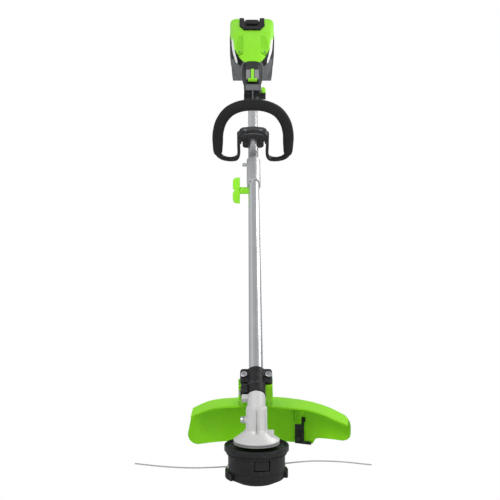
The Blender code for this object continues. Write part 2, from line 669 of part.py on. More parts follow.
def gearbox(shaft):
    """The cast housing with its gears, bearings and screws."""
    housing = place("gear_housing", turned([
        (0.0, CONE_HEIGHT), (CONE_RADIUS - 0.001, CONE_HEIGHT), (CONE_RADIUS, CONE_HEIGHT + 0.001),
        (CONE_RADIUS, CONE_HEIGHT + 0.003), (CONE_RADIUS - 0.012, CONE_HEIGHT + 0.0115),
        (BODY_RADIUS + 0.0030, BODY_LOW_HEIGHT - 0.0035), (BODY_RADIUS, BODY_LOW_HEIGHT),
        (BODY_RADIUS - 0.0004, BODY_TOP_HEIGHT - 0.002), (BODY_RADIUS - 0.0022, BODY_TOP_HEIGHT),
        (0.0, BODY_TOP_HEIGHT),
    ], HEAD_STEPS), "cast")
    neck_tip = NECK_RADIUS - BAND_WALL + CLEAR
    join(housing, turned([
        (0.0, -0.004), (NECK_RADIUS - 0.001, -0.004), (NECK_RADIUS, 0.006), (NECK_RADIUS, NECK_SHOULDER),
        (neck_tip, NECK_SHOULDER + 0.0005), (neck_tip, NECK_END), (0.0, NECK_END),
    ], 26), shaft)
    for turn in (-60, 0, 60):
        rib = bmesh.new()
        bmesh.ops.create_cube(rib, size=1.0)
        bmesh.ops.scale(rib, vec=(0.0034, 0.0032, BODY_TOP_HEIGHT - BODY_LOW_HEIGHT), verts=rib.verts[:])
        middle = (0.0002, -BODY_RADIUS + 0.0008, (BODY_TOP_HEIGHT + BODY_LOW_HEIGHT) / 2.0 - 0.004)
        bmesh.ops.translate(rib, vec=middle, verts=rib.verts[:])
        rib.transform(Matrix.Rotation(math.radians(turn), 4, "Z"))
        join(housing, rib)
    lug_low, lug_high = CONE_HEIGHT + 0.004, CONE_HEIGHT + 0.019
    lug = lofted([[(0.0150, y, lug_low), (0.0300, y, lug_low), (0.0300, y, lug_high - 0.0015),
                   (0.0285, y, lug_high), (0.0160, y, lug_high)] for y in (-0.011, 0.001)])
    join(housing, lug)
    plug_frame = towards((-1.0, 0.0, 0.0), (-BODY_RADIUS + 0.002, -0.001, APEX_HEIGHT - 0.0135))
    join(housing, rod(0.0062, 0.0, 0.004, FINE_STEPS, plug_frame))

    tube_seat = TUBE_RADIUS + CLEAR
    cavity = BODY_RADIUS - 0.0030
    cut(housing, turned([
        (0.0, CONE_HEIGHT - 0.002), (0.0335, CONE_HEIGHT - 0.002), (0.0335, CONE_HEIGHT + 0.002),
        (cavity, CONE_HEIGHT + 0.010), (cavity, BODY_TOP_HEIGHT - 0.0035), (0.0, BODY_TOP_HEIGHT - 0.0035),
    ], 30))
    seat_start = LOWER_TUBE_START - CLEAR
    cut(housing, turned([
        (0.0, 0.003), (tube_seat - 0.0019, 0.003), (tube_seat - 0.0019, seat_start),
        (tube_seat, seat_start), (tube_seat, NECK_END + 0.01), (0.0, NECK_END + 0.01),
    ], 26), shaft)
    split = block((-NECK_RADIUS - 0.001, -0.010), (-0.0012, 0.0012), (NECK_SHOULDER + 0.002, NECK_END + 0.01))
    cut(housing, split, shaft)
    cut(housing, rod(0.0030, -0.006, 0.006, FINE_STEPS, plug_frame))

    place("dust_ring", turned([
        (0.0345, DUST_RING_HEIGHT), (CONE_RADIUS, DUST_RING_HEIGHT), (CONE_RADIUS, CONE_HEIGHT - CLEAR),
        (SPINDLE_RADIUS + 0.0015, CONE_HEIGHT - CLEAR), (SPINDLE_RADIUS + 0.0015, DUST_RING_HEIGHT + 0.002),
        (0.0345, DUST_RING_HEIGHT + 0.002),
    ], HEAD_STEPS, True), "grey")

    pinion_angle = math.atan2(math.cos(math.radians(SHAFT_ANGLE)),
                              GEAR_TEETH / PINION_TEETH - math.sin(math.radians(SHAFT_ANGLE)))
    gear_angle = math.radians(90.0 + SHAFT_ANGLE) - pinion_angle
    gear_hub = 0.004
    gear_low = APEX_HEIGHT - CONE_DISTANCE * math.cos(gear_angle) - gear_hub
    place("spindle", turned([
        (0.0, HEAD_TOP_HEIGHT - 0.0115), (SPINDLE_RADIUS, HEAD_TOP_HEIGHT - 0.0115),
        (SPINDLE_RADIUS, gear_low - 0.0006), (SPINDLE_RADIUS - 0.001, gear_low - 0.0003),
        (SPINDLE_RADIUS - 0.001, gear_low + gear_hub - 0.001), (0.0, gear_low + gear_hub - 0.001),
    ], FINE_STEPS), "steel")
    gear = bevel_gear(GEAR_TEETH, gear_angle, SPINDLE_RADIUS - 0.001 + CLEAR, gear_hub)
    gear.transform(Matrix.Rotation(math.radians(90.0), 4, "Z"))
    gear.transform(Matrix.Translation((0.0, 0.0, APEX_HEIGHT)) @ Matrix.Rotation(math.pi, 4, "X"))
    place("output_gear", gear, "steel")
    pinion = bevel_gear(PINION_TEETH, pinion_angle, DRIVE_RADIUS + CLEAR, 0.0030)
    pinion.transform(Matrix.Rotation(math.radians(90.0), 4, "Z"))
    place("drive_pinion", pinion, "steel", shaft)

    bearing_outer = cavity - CLEAR
    for name, low in (("spindle_bearing_lower", CONE_HEIGHT + 0.012),
                      ("spindle_bearing_upper", gear_low - BEARING_WIDTH - 0.0005)):
        place(name, bearing(SPINDLE_RADIUS + RUNNING, bearing_outer, low), "steel")
    pinion_bearing = bearing(DRIVE_RADIUS + RUNNING, TUBE_RADIUS - 0.0019, LOWER_TUBE_START - BEARING_WIDTH)
    place("pinion_bearing", pinion_bearing, "steel", shaft)
    place("grease_plug", turned([
        (0.0, -0.0005), (0.0030 - CLEAR, -0.0005), (0.0030 - CLEAR, 0.004 + CLEAR), (0.0066, 0.004 + CLEAR),
        (0.0066, 0.0058), (0.0056, 0.0060), (0.0056, 0.0102), (0.0046, 0.0112), (0.0, 0.0112),
    ], FINE_STEPS, frame=plug_frame), "steel")
    clamp_band(shaft, neck_tip)


def bearing(bore, outer, low):
    """A shielded ball bearing as one ring, with the groove between its two races."""
    high = low + BEARING_WIDTH
    middle = (bore + outer) / 2.0
    groove = 0.0010
    return turned([
        (bore, low), (middle, low + groove), (outer, low), (outer, high), (middle, high - groove),
        (bore, high),
    ], FINE_STEPS, True)


def clamp_band(shaft, neck_tip):
    """The split band round the neck, with the screw that pinches it."""
    low, high = NECK_SHOULDER + 0.0010, NECK_END + 0.0005
    inner = neck_tip + CLEAR
    outer = inner + BAND_WALL
    band = place("clamp_band", pipe(outer, inner, low, high), "black", shaft)
    ear = round_box((-0.0275, EAR_LOW), (-inner - 0.0006, EAR_HIGH), 0.003)
    join(band, slab_t(ear, low + 0.001, high - 0.001), shaft)
    cut(band, block((-0.030, -inner + 0.002), (-0.0012, 0.0012), (low - 0.01, high + 0.01)), shaft)
    cut(band, rod(inner, low - 0.01, high + 0.01), shaft)
    screw = towards((0.0, 1.0, 0.0), shaft_point(-0.0225, EAR_LOW, (low + high) / 2.0))
    cut(band, rod(SCREW_RADIUS + CLEAR, -0.030, 0.010, FINE_STEPS, screw), shaft)
    tip = EAR_LOW - EAR_HIGH
    place("pinch_bolt", turned([
        (0.0, tip), (SCREW_RADIUS, tip), (SCREW_RADIUS, CLEAR), (0.0046, CLEAR), (0.0046, 0.0038),
        (0.0036, 0.0048), (0.0, 0.0048),
    ], FINE_STEPS, frame=screw), "steel", shaft)


# The guard's roof: its height at the outer edge by angle from +Y in degrees, and its front edge in (x, y).
ROOF_HEIGHT = ((-40.0, 0.0895), (-33.0, 0.0955), (-25.0, 0.1020), (-10.0, 0.1045), (8.0, 0.106),
               (28.0, 0.1035), (38.0, 0.1005), (48.0, 0.0985), (58.0, 0.0930))
FRONT_DROP = 0.006
FRONT_EDGE = ((-0.131, 0.134), (-0.083, 0.143), (-0.035, 0.148), (0.010, 0.146), (0.050, 0.136),
              (0.092, 0.132), (0.130, 0.112), (0.168, 0.078))


def guard_outline():
    """The guard's outline seen along Y, as (x, z): round lower corners and the step at the right."""
    left = arc((-0.1080, 0.0400), 0.0240, 175.0, 262.0, 7)
    right = arc((0.1610, 0.0530), 0.0185, -82.0, 5.0, 6)
    step = [(0.1080, 0.0155), (0.1135, 0.0175), (0.1185, 0.0275), (0.1240, 0.0300)]
    corner = arc((0.1560, 0.0650), 0.0235, 0.0, 80.0, 6)
    return [(-0.1225, 0.090), *left, *step, *right, *corner, (0.1480, 0.0980), (0.1480, 0.130),
            (-0.1190, 0.130)]


def guard_shell():
    """The roof and skirt, from sections that turn about the spool's axis."""
    rows = []
    count = 20
    edge = smooth([Vector((x, y, 0.0)) for x, y in FRONT_EDGE], 6)
    for i in range(count + 1):
        share = i / count
        degrees = -GUARD_LEFT + (GUARD_LEFT + GUARD_RIGHT) * share
        a = math.radians(degrees)
        out = Vector((math.sin(a), math.cos(a), 0.0))
        place_on_edge = share * (len(edge) - 1)
        k = min(int(place_on_edge), len(edge) - 2)
        front = edge[k].lerp(edge[k + 1], place_on_edge - k)
        top = between(ROOF_HEIGHT, degrees)
        corner = out * (GUARD_RADIUS - GUARD_CORNER)
        inwards = (front - corner).normalized()
        inner = GUARD_CORNER - GUARD_WALL
        middle = top - GUARD_CORNER
        points = [(front, top - FRONT_DROP), (corner, top)]
        points += [(corner + out * c, middle + s) for c, s in arc((0.0, 0.0), GUARD_CORNER, 60.0, 0.0, 3)]
        points += [(out * GUARD_RADIUS, 0.010), (out * (GUARD_RADIUS - GUARD_WALL), 0.010)]
        points += [(corner + out * c, middle + s) for c, s in arc((0.0, 0.0), inner, 0.0, 60.0, 3)]
        points += [(corner, top - GUARD_WALL), (front - inwards * 0.0005, top - FRONT_DROP - GUARD_WALL)]
        rows.append([Vector((p.x, p.y, z)) for p, z in points])
    return lofted(rows)


def tongue(inset, low_extra):
    """The wedge that rises from the roof to the clamp; inset gives the hollow under it."""
    left, right = TONGUE_LEFT + inset, TONGUE_RIGHT - inset
    top_n = -0.0010 - inset if inset else -0.0005
    front_t, rear_t = TONGUE_START + inset, CLAMP_START + CLAMP_LENGTH - 0.001
    tail = GUARD_RADIUS - 0.021
    outline = [world_of(0.0, top_n, front_t), world_of(0.0, top_n, rear_t)]
    outline += [Vector((0.0, tail, 0.1030 - inset)), Vector((0.0, tail, 0.0990 - low_extra))]
    outline += [Vector((0.0, 0.140, 0.0990 - low_extra)), world_of(0.0, -0.040 - low_extra, front_t)]
    return lofted([[Vector((x, p.y, p.z)) for p in outline] for x in (left, right)])


def blade_slab(width, inner, outer, low, high, shift=0.0):
    """A block square to the radius where the line cutter stands, between two radii and two heights."""
    half = width / 2.0
    left, right = shift - half, shift + half
    corners = ((left, inner), (right, inner), (right, outer), (left, outer))
    bm = lofted([[(x, y, z) for x, y in corners] for z in (low, high)])
    bm.transform(Matrix.Rotation(math.radians(-BLADE_ANGLE), 4, "Z"))
    return bm


def guard(shaft):
    """The moulded guard, its clamp, its bolts and the line cutter."""
    shell = place("guard", guard_shell(), "guard_green")
    outline = guard_outline()
    shape_with(shell, "INTERSECT", lofted([[(x, y, z) for x, z in outline] for y in (0.05, 0.25)]))
    join(shell, tongue(0.0, 0.0))
    hollow = tongue(GUARD_WALL, 0.020)
    cut(shell, hollow)
    tube_seat = TUBE_RADIUS + CLEAR
    saddle_end = CLAMP_START + CLAMP_LENGTH
    join(shell, rod(tube_seat + GUARD_WALL, TONGUE_START + 0.0004, saddle_end), shaft)
    bolt_t = CLAMP_START + CLAMP_LENGTH * 0.55
    bolts = [towards((0.0, -1.0, 0.0), shaft_point(side * GUARD_BOLT_SPACING / 2.0, 0.0, bolt_t))
             for side in (-1.0, 1.0)]
    for bolt in bolts:
        join(shell, rod(0.0055, -0.014, 0.002, 12, bolt), shaft)
    cut(shell, block((-0.05, 0.05), (-0.0010, 0.03), (TONGUE_START - 0.01, saddle_end + 0.03)), shaft)
    cut(shell, rod(tube_seat, TONGUE_START - 0.02, saddle_end + 0.06), shaft)
    for bolt in bolts:
        cut(shell, rod(GUARD_BOLT_RADIUS + CLEAR, -0.020, 0.002, 14, bolt), shaft)
    boss_inner = BLADE_EDGE_RADIUS + BLADE_THICKNESS + CLEAR
    join(shell, blade_slab(BLADE_WIDTH + 0.003, boss_inner, GUARD_RADIUS - GUARD_WALL / 2.0, BLADE_SEAT,
                           BOSS_TOP))

    outer = tube_seat + CLAMP_WALL
    ear_reach, ear_low = EAR_REACH, -0.0010 + CLEAR
    clamp = place("guard_clamp", slab_t([
        (ear_reach, ear_low), (ear_reach, EAR_THICKNESS - 0.002), (ear_reach - 0.002, EAR_THICKNESS),
        (outer - 0.001, EAR_THICKNESS), *arc((0.0, 0.0), outer, 38.0, 142.0, 7),
        (-outer + 0.001, EAR_THICKNESS), (-ear_reach + 0.002, EAR_THICKNESS),
        (-ear_reach, EAR_THICKNESS - 0.002), (-ear_reach, ear_low),
    ], CLAMP_START, CLAMP_START + CLAMP_LENGTH), "black", shaft)
    cut(clamp, rod(tube_seat, CLAMP_START - 0.01, CLAMP_START + CLAMP_LENGTH + 0.01), shaft)
    for name, side in (("guard_bolt_left", -1.0), ("guard_bolt_right", 1.0)):
        bolt = towards((0.0, -1.0, 0.0), shaft_point(side * GUARD_BOLT_SPACING / 2.0, 0.0, bolt_t))
        cut(clamp, rod(GUARD_BOLT_RADIUS + CLEAR, -0.020, 0.020, FINE_STEPS, bolt), shaft)
        seat = EAR_THICKNESS + CLEAR
        place(name, socket_bolt(GUARD_BOLT_RADIUS, -0.013, seat, GUARD_BOLT_HEAD, bolt), "steel", shaft)
    rounded(clamp, 0.0012)

    blade_outer = BLADE_EDGE_RADIUS + BLADE_THICKNESS
    edge = (BLADE_EDGE_RADIUS, blade_outer)
    blade = place("line_cutter", blade_slab(BLADE_WIDTH, *edge, BLADE_LOW, BLADE_HIGH), "black")
    toe_shift = (BLADE_WIDTH + BLADE_TOE) / 2.0 - 0.001
    join(blade, blade_slab(BLADE_TOE, *edge, BLADE_LOW, BLADE_LOW + 0.006, toe_shift))


def socket_bolt(radius, low, seat, head_radius, frame):
    """A pan-head screw with a hex socket, its head's underside at seat."""
    top = seat + head_radius * 0.75
    return turned([
        (0.0, low), (radius, low), (radius, seat), (head_radius, seat), (head_radius, top - 0.0012),
        (head_radius - 0.0012, top), (head_radius * 0.45, top), (head_radius * 0.45, top - 0.0015),
        (0.0, top - 0.0015),
    ], FINE_STEPS, frame=frame)


def square(half):
    return [(-half, -half), (half, -half), (half, half), (-half, half)]


def shafts(shaft):
    """Both tubes and the drive shafts, bushes and square joint inside them."""
    inner = TUBE_RADIUS - TUBE_WALL
    lower = place("lower_tube", pipe(TUBE_RADIUS, inner, LOWER_TUBE_START, LOWER_TUBE_END), "tube", shaft)
    notch = PIN_RADIUS + RUNNING
    cut(lower, block((-TUBE_RADIUS - 0.002, -inner + 0.003), (-notch, notch),
                     (PIN_T - notch, LOWER_TUBE_END + 0.01)), shaft)
    place("upper_tube", pipe(TUBE_RADIUS, inner, UPPER_TUBE_START, UPPER_TUBE_END), "tube", shaft)
    socket_start = LOWER_TUBE_END - SOCKET_LENGTH * 0.35
    socket_end = socket_start + SOCKET_LENGTH
    square_end = socket_start + SOCKET_LENGTH * 0.5
    shaft_start = LOWER_TUBE_START - BEARING_WIDTH - 0.008
    drive = place("lower_drive_shaft", rod(DRIVE_RADIUS, shaft_start, socket_start - 0.002, FINE_STEPS),
                  "steel", shaft)
    join(drive, slab_t(square(SQUARE_DRIVE), socket_start - 0.006, square_end), shaft)
    sleeve = pipe(SOCKET_RADIUS, DRIVE_RADIUS + CLEAR, socket_start, socket_end, FINE_STEPS)
    socket = place("drive_socket", sleeve, "steel", shaft)
    join(socket, rod(SOCKET_RADIUS - 0.001, square_end + 0.001, socket_end - 0.008, FINE_STEPS), shaft)
    place("upper_drive_shaft", rod(DRIVE_RADIUS, socket_end - 0.008 + CLEAR, MOTOR_START + 0.012,
                                   FINE_STEPS), "steel", shaft)
    for name, low in (("lower_shaft_bush", 0.380), ("upper_shaft_bush", 0.950)):
        place(name, pipe(inner - CLEAR, DRIVE_RADIUS + RUNNING, low, low + BUSH_LENGTH), "black", shaft)


def coupler(shaft):
    """The aluminium sleeve that joins the tubes, its wing knob and its release pin."""
    ear, depth = COUPLER_EAR_HALF, COUPLER_DEPTH
    outline = [(-ear, -depth + 0.003), (-ear + 0.003, -depth), (ear - 0.003, -depth), (ear, -depth + 0.003)]
    outline += [(ear + 0.001, -0.0190), *arc((0.0, 0.0), COUPLER_RADIUS, -38.0, 218.0, 11)]
    outline.append((-ear - 0.001, -0.0190))
    sleeve = place("coupler_sleeve", slab_t(outline, COUPLER_START, COUPLER_END), "coupler", shaft)
    low_end = [(-depth - 0.01, COUPLER_START - 0.02), (COUPLER_RADIUS + 0.01, COUPLER_START - 0.02),
               (COUPLER_RADIUS + 0.01, COUPLER_START + COUPLER_SLANT),
               (-depth - 0.01, COUPLER_START - 0.004)]
    high_end = [(-depth - 0.01, COUPLER_END + 0.02), (COUPLER_RADIUS + 0.01, COUPLER_END + 0.02),
                (COUPLER_RADIUS + 0.01, COUPLER_END - 1.7 * COUPLER_SLANT),
                (-depth - 0.01, COUPLER_END + 0.003)]
    for end in (low_end, high_end):
        cut(sleeve, slab_x(end, -0.03, 0.03), shaft)
    cut(sleeve, rod(TUBE_RADIUS + CLEAR, COUPLER_START - 0.03, COUPLER_END + 0.03), shaft)
    half_slot = COUPLER_SLOT / 2.0
    cut(sleeve, block((-half_slot, half_slot), (-depth - 0.01, -TUBE_RADIUS + 0.002),
                      (COUPLER_START - 0.03, COUPLER_SLOT_END)), shaft)
    knob_axis = towards((-1.0, 0.0, 0.0), shaft_point(0.0, KNOB_N, KNOB_T))
    cut(sleeve, rod(STUD_RADIUS + RUNNING, -0.02, 0.02, FINE_STEPS, knob_axis), shaft)
    cut(sleeve, rod(KNOB_HUB_RADIUS + 3.0 * CLEAR, COUPLER_EAR_HALF, 0.03, FINE_STEPS, knob_axis), shaft)
    cut(sleeve, rod(NUT_RADIUS + 3.0 * CLEAR, -0.03, -COUPLER_EAR_HALF, FINE_STEPS, knob_axis), shaft)
    pin_axis = towards((-1.0, 0.0, 0.0), shaft_point(0.0, 0.0, PIN_T))
    cut(sleeve, rod(PIN_RADIUS + RUNNING, 0.008, 0.03, FINE_STEPS, pin_axis), shaft)

    notch = [(WING_REACH * 0.16, WING_OUTER), (0.0, WING_OUTER - 0.0052), (-WING_REACH * 0.16, WING_OUTER)]
    corner = [(1.0, WING_INNER), (1.0, WING_INNER + 0.007), (0.93, WING_OUTER - 0.003), (0.72, WING_OUTER)]
    wing = [(WING_REACH * share, out) for share, out in corner]
    wing += [*notch, *[(-WING_REACH * share, out) for share, out in reversed(corner)]]
    lean = math.radians(90.0 - SHAFT_ANGLE)
    along = Vector((0.0, -math.sin(lean), math.cos(lean)))
    across = Vector((0.0, math.cos(lean), math.sin(lean)))
    centre = shaft_point(0.0, KNOB_N, KNOB_T)
    faces = [[centre + along * a + Vector((-b, 0.0, 0.0)) + across * c for a, b in wing]
             for c in (-WING_HALF, WING_HALF)]
    knob = place("coupler_knob", lofted(faces), "green", shaft, centre)
    hub = rod(KNOB_HUB_RADIUS, COUPLER_EAR_HALF + CLEAR, WING_INNER + 0.004, FINE_STEPS, knob_axis)
    join(knob, hub, shaft)
    rounded(knob, 0.0014)
    stud = turned([(0.0, -0.0135), (STUD_RADIUS, -0.0135), (STUD_RADIUS, COUPLER_EAR_HALF + 0.0025),
                   (0.0, COUPLER_EAR_HALF + 0.0025)], FINE_STEPS, frame=knob_axis)
    join(knob, stud, shaft)
    hexagon = rod(NUT_RADIUS, -COUPLER_EAR_HALF - 0.0045, -COUPLER_EAR_HALF - CLEAR, 6, knob_axis)
    nut = place("knob_nut", hexagon, "steel", shaft)
    cut(nut, rod(STUD_RADIUS + RUNNING, -0.02, 0.0, FINE_STEPS, knob_axis), shaft)
    place("release_pin", turned([
        (0.0, TUBE_RADIUS - TUBE_WALL - 0.001), (PIN_RADIUS, TUBE_RADIUS - TUBE_WALL - 0.001),
        (PIN_RADIUS, COUPLER_RADIUS + 0.0006), (PIN_HEAD_RADIUS, COUPLER_RADIUS + 0.0006),
        (PIN_HEAD_RADIUS, 0.0270), (PIN_HEAD_RADIUS - 0.0008, 0.0278), (0.0, 0.0278),
    ], FINE_STEPS, frame=pin_axis), "steel", shaft, shaft_point(0.0, 0.0, PIN_T))


def loop_route():
    """The loop handle's centre line in (x, n), from the right leg's top round to the left leg's top."""
    low = -LOOP_BOTTOM
    right = [(LEG_X, 0.004), (LEG_X, -0.030), (LEG_X, -0.060), (LEG_X + 0.0055, low + 0.0042),
             (LEG_X + 0.017, low), (0.070, low + 0.0005), (0.085, -0.0700), (0.0940, -0.0560),
             (LOOP_SIDE, -0.028), (LOOP_SIDE - 0.0015, 0.006), (LOOP_SIDE - 0.0105, 0.040),
             (0.064, 0.0690), (0.035, 0.0850)]
    left = [(-x, n) for x, n in reversed(right)]
    return smooth([Vector((x, n)) for x, n in [*right, (0.0, LOOP_TOP), *left]], 2)


def swept(route, sizes, count):
    """A tube along a route of (x, n) points at LOOP_T; sizes gives each point's half width and half depth."""
    rings = []
    for i, at in enumerate(route):
        ahead = (route[min(i + 1, len(route) - 1)] - route[max(i - 1, 0)]).normalized()
        side = Vector((-ahead.y, ahead.x))
        half_width, half_depth = sizes[i]
        ring = []
        for k in range(count):
            a = 2.0 * math.pi * (k + 0.5) / count
            point = at + side * half_width * math.cos(a)
            ring.append(shaft_point(point.x, point.y, LOOP_T + half_depth * math.sin(a)))
        rings.append(ring)
    return rings


def loop_handle(shaft):
    """The loop frame with its saddle, the soft grip over it and the lower clamp half."""
    route = loop_route()
    grip_low = -0.058
    covered = [i for i, p in enumerate(route) if abs(p.x) > 0.060 and p.y > grip_low or p.y > 0.05]
    first, last = covered[0], covered[-1]
    thin_end = CORE_RADIUS + 0.0016
    core, outer = [], []
    for i, p in enumerate(route):
        rise = max(0.0, min(1.0, (p.y + 0.0765) / 0.020)) if abs(p.x) > 0.060 else 0.0
        half = BAR_RADIUS + (CORE_RADIUS - BAR_RADIUS) * rise
        leg = max(0.0, min(1.0, (0.062 - abs(p.x)) / 0.020)) if p.y < 0.03 else 0.0
        thin = half + (0.0042 - half) * leg
        depth = half + 0.002 + (LEG_HALF_DEPTH - half - 0.002) * leg
        core.append((thin, depth if p.y < 0.03 and not first <= i <= last else half))
        away = max(0.0, min(1.0, min(i - first, last - i) / 3.0))
        outer.append(thin_end + (GRIP_RADIUS - thin_end) * away ** 0.5)
    frame = place("loop_frame", lofted(swept(route, core, LOOP_SIDES)), "black", shaft)
    inside = [(core[i][0] + CLEAR, core[i][1] + CLEAR) for i in range(first, last + 1)]
    outside = [(outer[i], outer[i]) for i in range(first, last + 1)]
    span = route[first:last + 1]
    skin = swept(span, outside, LOOP_SIDES)
    bore = swept(span, inside, LOOP_SIDES)
    place("loop_grip", lofted([*skin, *reversed(bore)], closed=True), "soft_black", shaft)

    half = SADDLE_WIDTH / 2.0
    tube_seat = TUBE_RADIUS + CLEAR
    saddle_low = 0.0008
    saddle_t = LOOP_T - SADDLE_SETBACK
    low_t, high_t = saddle_t - SADDLE_LENGTH / 2.0, saddle_t + SADDLE_LENGTH / 2.0
    crown = [(half, -0.006), (half, SADDLE_TOP - 0.012),
             *arc((half - 0.010, SADDLE_TOP - 0.012), 0.010, 10.0, 80.0, 4),
             (0.0, SADDLE_TOP + 0.0015)]
    crown += [(-x, n) for x, n in reversed(crown[:-1])]
    body = [*crown, (-half + 0.0085, -0.006), (-half + 0.0085, saddle_low), (half - 0.0085, saddle_low),
            (half - 0.0085, -0.006)]
    join(frame, slab_t(body, low_t, high_t), shaft)
    cut(frame, rod(tube_seat, low_t - 0.02, high_t + 0.02), shaft)
    scoop = [(0.008, low_t - 0.01), (0.008, low_t - 0.001), (0.017, low_t + 0.005), (0.040, low_t + 0.012),
             (0.040, low_t - 0.01)]
    cut(frame, slab_x(scoop, -half - 0.01, half + 0.01), shaft)
    clamp_half = LOWER_CLAMP_WIDTH / 2.0
    clamp = place("loop_clamp", slab_t([
        (clamp_half, saddle_low - 2.0 * CLEAR), (clamp_half, -0.010),
        *arc((clamp_half - 0.008, -0.010), 0.008, -10.0, -80.0, 4),
        (0.012, -0.0190), (-0.012, -0.0190), *arc((-clamp_half + 0.008, -0.010), 0.008, -100.0, -170.0, 4),
        (-clamp_half, -0.010), (-clamp_half, saddle_low - 2.0 * CLEAR),
    ], low_t, high_t), "black", shaft)
    cut(clamp, rod(tube_seat, low_t - 0.02, high_t + 0.02), shaft)
    for name, side in (("loop_screw_left", -1.0), ("loop_screw_right", 1.0)):
        axis = towards((0.0, -1.0, 0.0),
                       shaft_point(side * SCREW_SPACING_X / 2.0, 0.0, saddle_t + SCREW_OFFSET_T))
        seat = SADDLE_TOP - 0.0045
        cut(frame, turned([
            (0.0, -0.010), (SCREW_RADIUS + CLEAR, -0.010), (SCREW_RADIUS + CLEAR, seat),
            (0.0045 + CLEAR, seat), (0.0045 + CLEAR, seat + 0.02), (0.0, seat + 0.02),
        ], FINE_STEPS, frame=axis), shaft)
        cut(clamp, rod(SCREW_RADIUS + CLEAR, -0.030, 0.010, FINE_STEPS, axis), shaft)
        place(name, socket_bolt(SCREW_RADIUS, -0.017, seat + CLEAR, 0.0045, axis), "steel", shaft)


# The rear handle's sections: distance from its nose, half width, top, bottom and squareness.
HANDLE_SECTIONS = (
    (0.0, 0.0160, 0.0160, -0.0160, 2.0), (0.004, 0.0172, 0.0172, -0.0172, 2.0),
    (0.022, 0.0180, 0.0180, -0.0190, 2.1), (0.043, 0.0205, 0.0205, -0.0230, 2.6),
    (NOSE_LENGTH, 0.0240, 0.0245, -0.0285, 4.5), (NOSE_LENGTH + 0.029, 0.0243, 0.0262, -0.0295, 4.8),
    (COLLAR_END - NOSE_T, 0.0245, 0.0275, -0.0305, 4.5),
    (COLLAR_END - NOSE_T + 0.020, 0.0250, 0.0275, -0.0315, 3.6),
    (COLLAR_END - NOSE_T + 0.050, 0.0258, 0.0275, -0.0325, 3.2),
    (LEVER_PIVOT_T - NOSE_T, 0.0280, 0.0280, -0.0390, 3.2),
    (HANDLE_END - NOSE_T - 0.0205, 0.0305, 0.0290, -0.0465, 3.4),
    (HANDLE_END - NOSE_T, 0.0300, 0.0295, -0.0470, 3.4),
)
# The trigger's side view: height and distance behind its pivot.
TRIGGER_PROFILE = (
    (-0.0160, -0.0060), (-0.0250, -0.0065), (-0.0400, -0.0010), (-0.0455, 0.0100), (-0.0440, 0.0250),
    (-0.0480, 0.0420), (-0.0470, 0.0490), (-0.0330, 0.0515), (-0.0245, 0.0500), (-0.0210, 0.0200),
    (-0.0150, 0.0080),
)
# The cover's scoops: distance from the middle and behind the motor's end.
SCOOP_OUTLINE = ((0.0280, -0.070), (0.0285, 0.002), (0.0500, 0.012), (0.0640, -0.010), (0.0540, -0.058))
# The power head's sections, the same way from the front of its housing.
HOUSING_SECTIONS = (
    (0.0, 0.0310, 0.0280, -0.0330, 3.0), (0.0170, 0.0430, 0.0350, -0.0450, 3.2),
    (0.0420, 0.0550, 0.0430, -0.0570, 3.6), (0.0720, 0.0630, 0.0505, -0.0610, 4.2),
    (0.1120, 0.0685, 0.0570, -0.0620, 4.8), (0.1570, 0.0700, 0.0615, -0.0620, 5.2),
    (0.2020, 0.0700, 0.0640, -0.0605, 5.4), (HOUSING_LENGTH - 0.004, 0.0690, 0.0645, -0.0590, 5.2),
    (HOUSING_LENGTH, 0.0665, 0.0620, -0.0560, 4.8),
)
# The foot it stands on: height, half width and distance of its front from the housing's.
FOOT_SECTIONS = ((-0.0622, 0.0600, 0.050), (-0.0400, 0.0625, 0.048), (-0.0150, 0.0650, 0.066),
                 (0.0100, 0.0660, 0.096))


def form(sections, start):
    """The solid through a table of sections, with its front at start."""
    return lofted([[shaft_point(x, n, start + along) for x, n in oval(width, top, bottom, power)]
                   for along, width, top, bottom, power in sections])


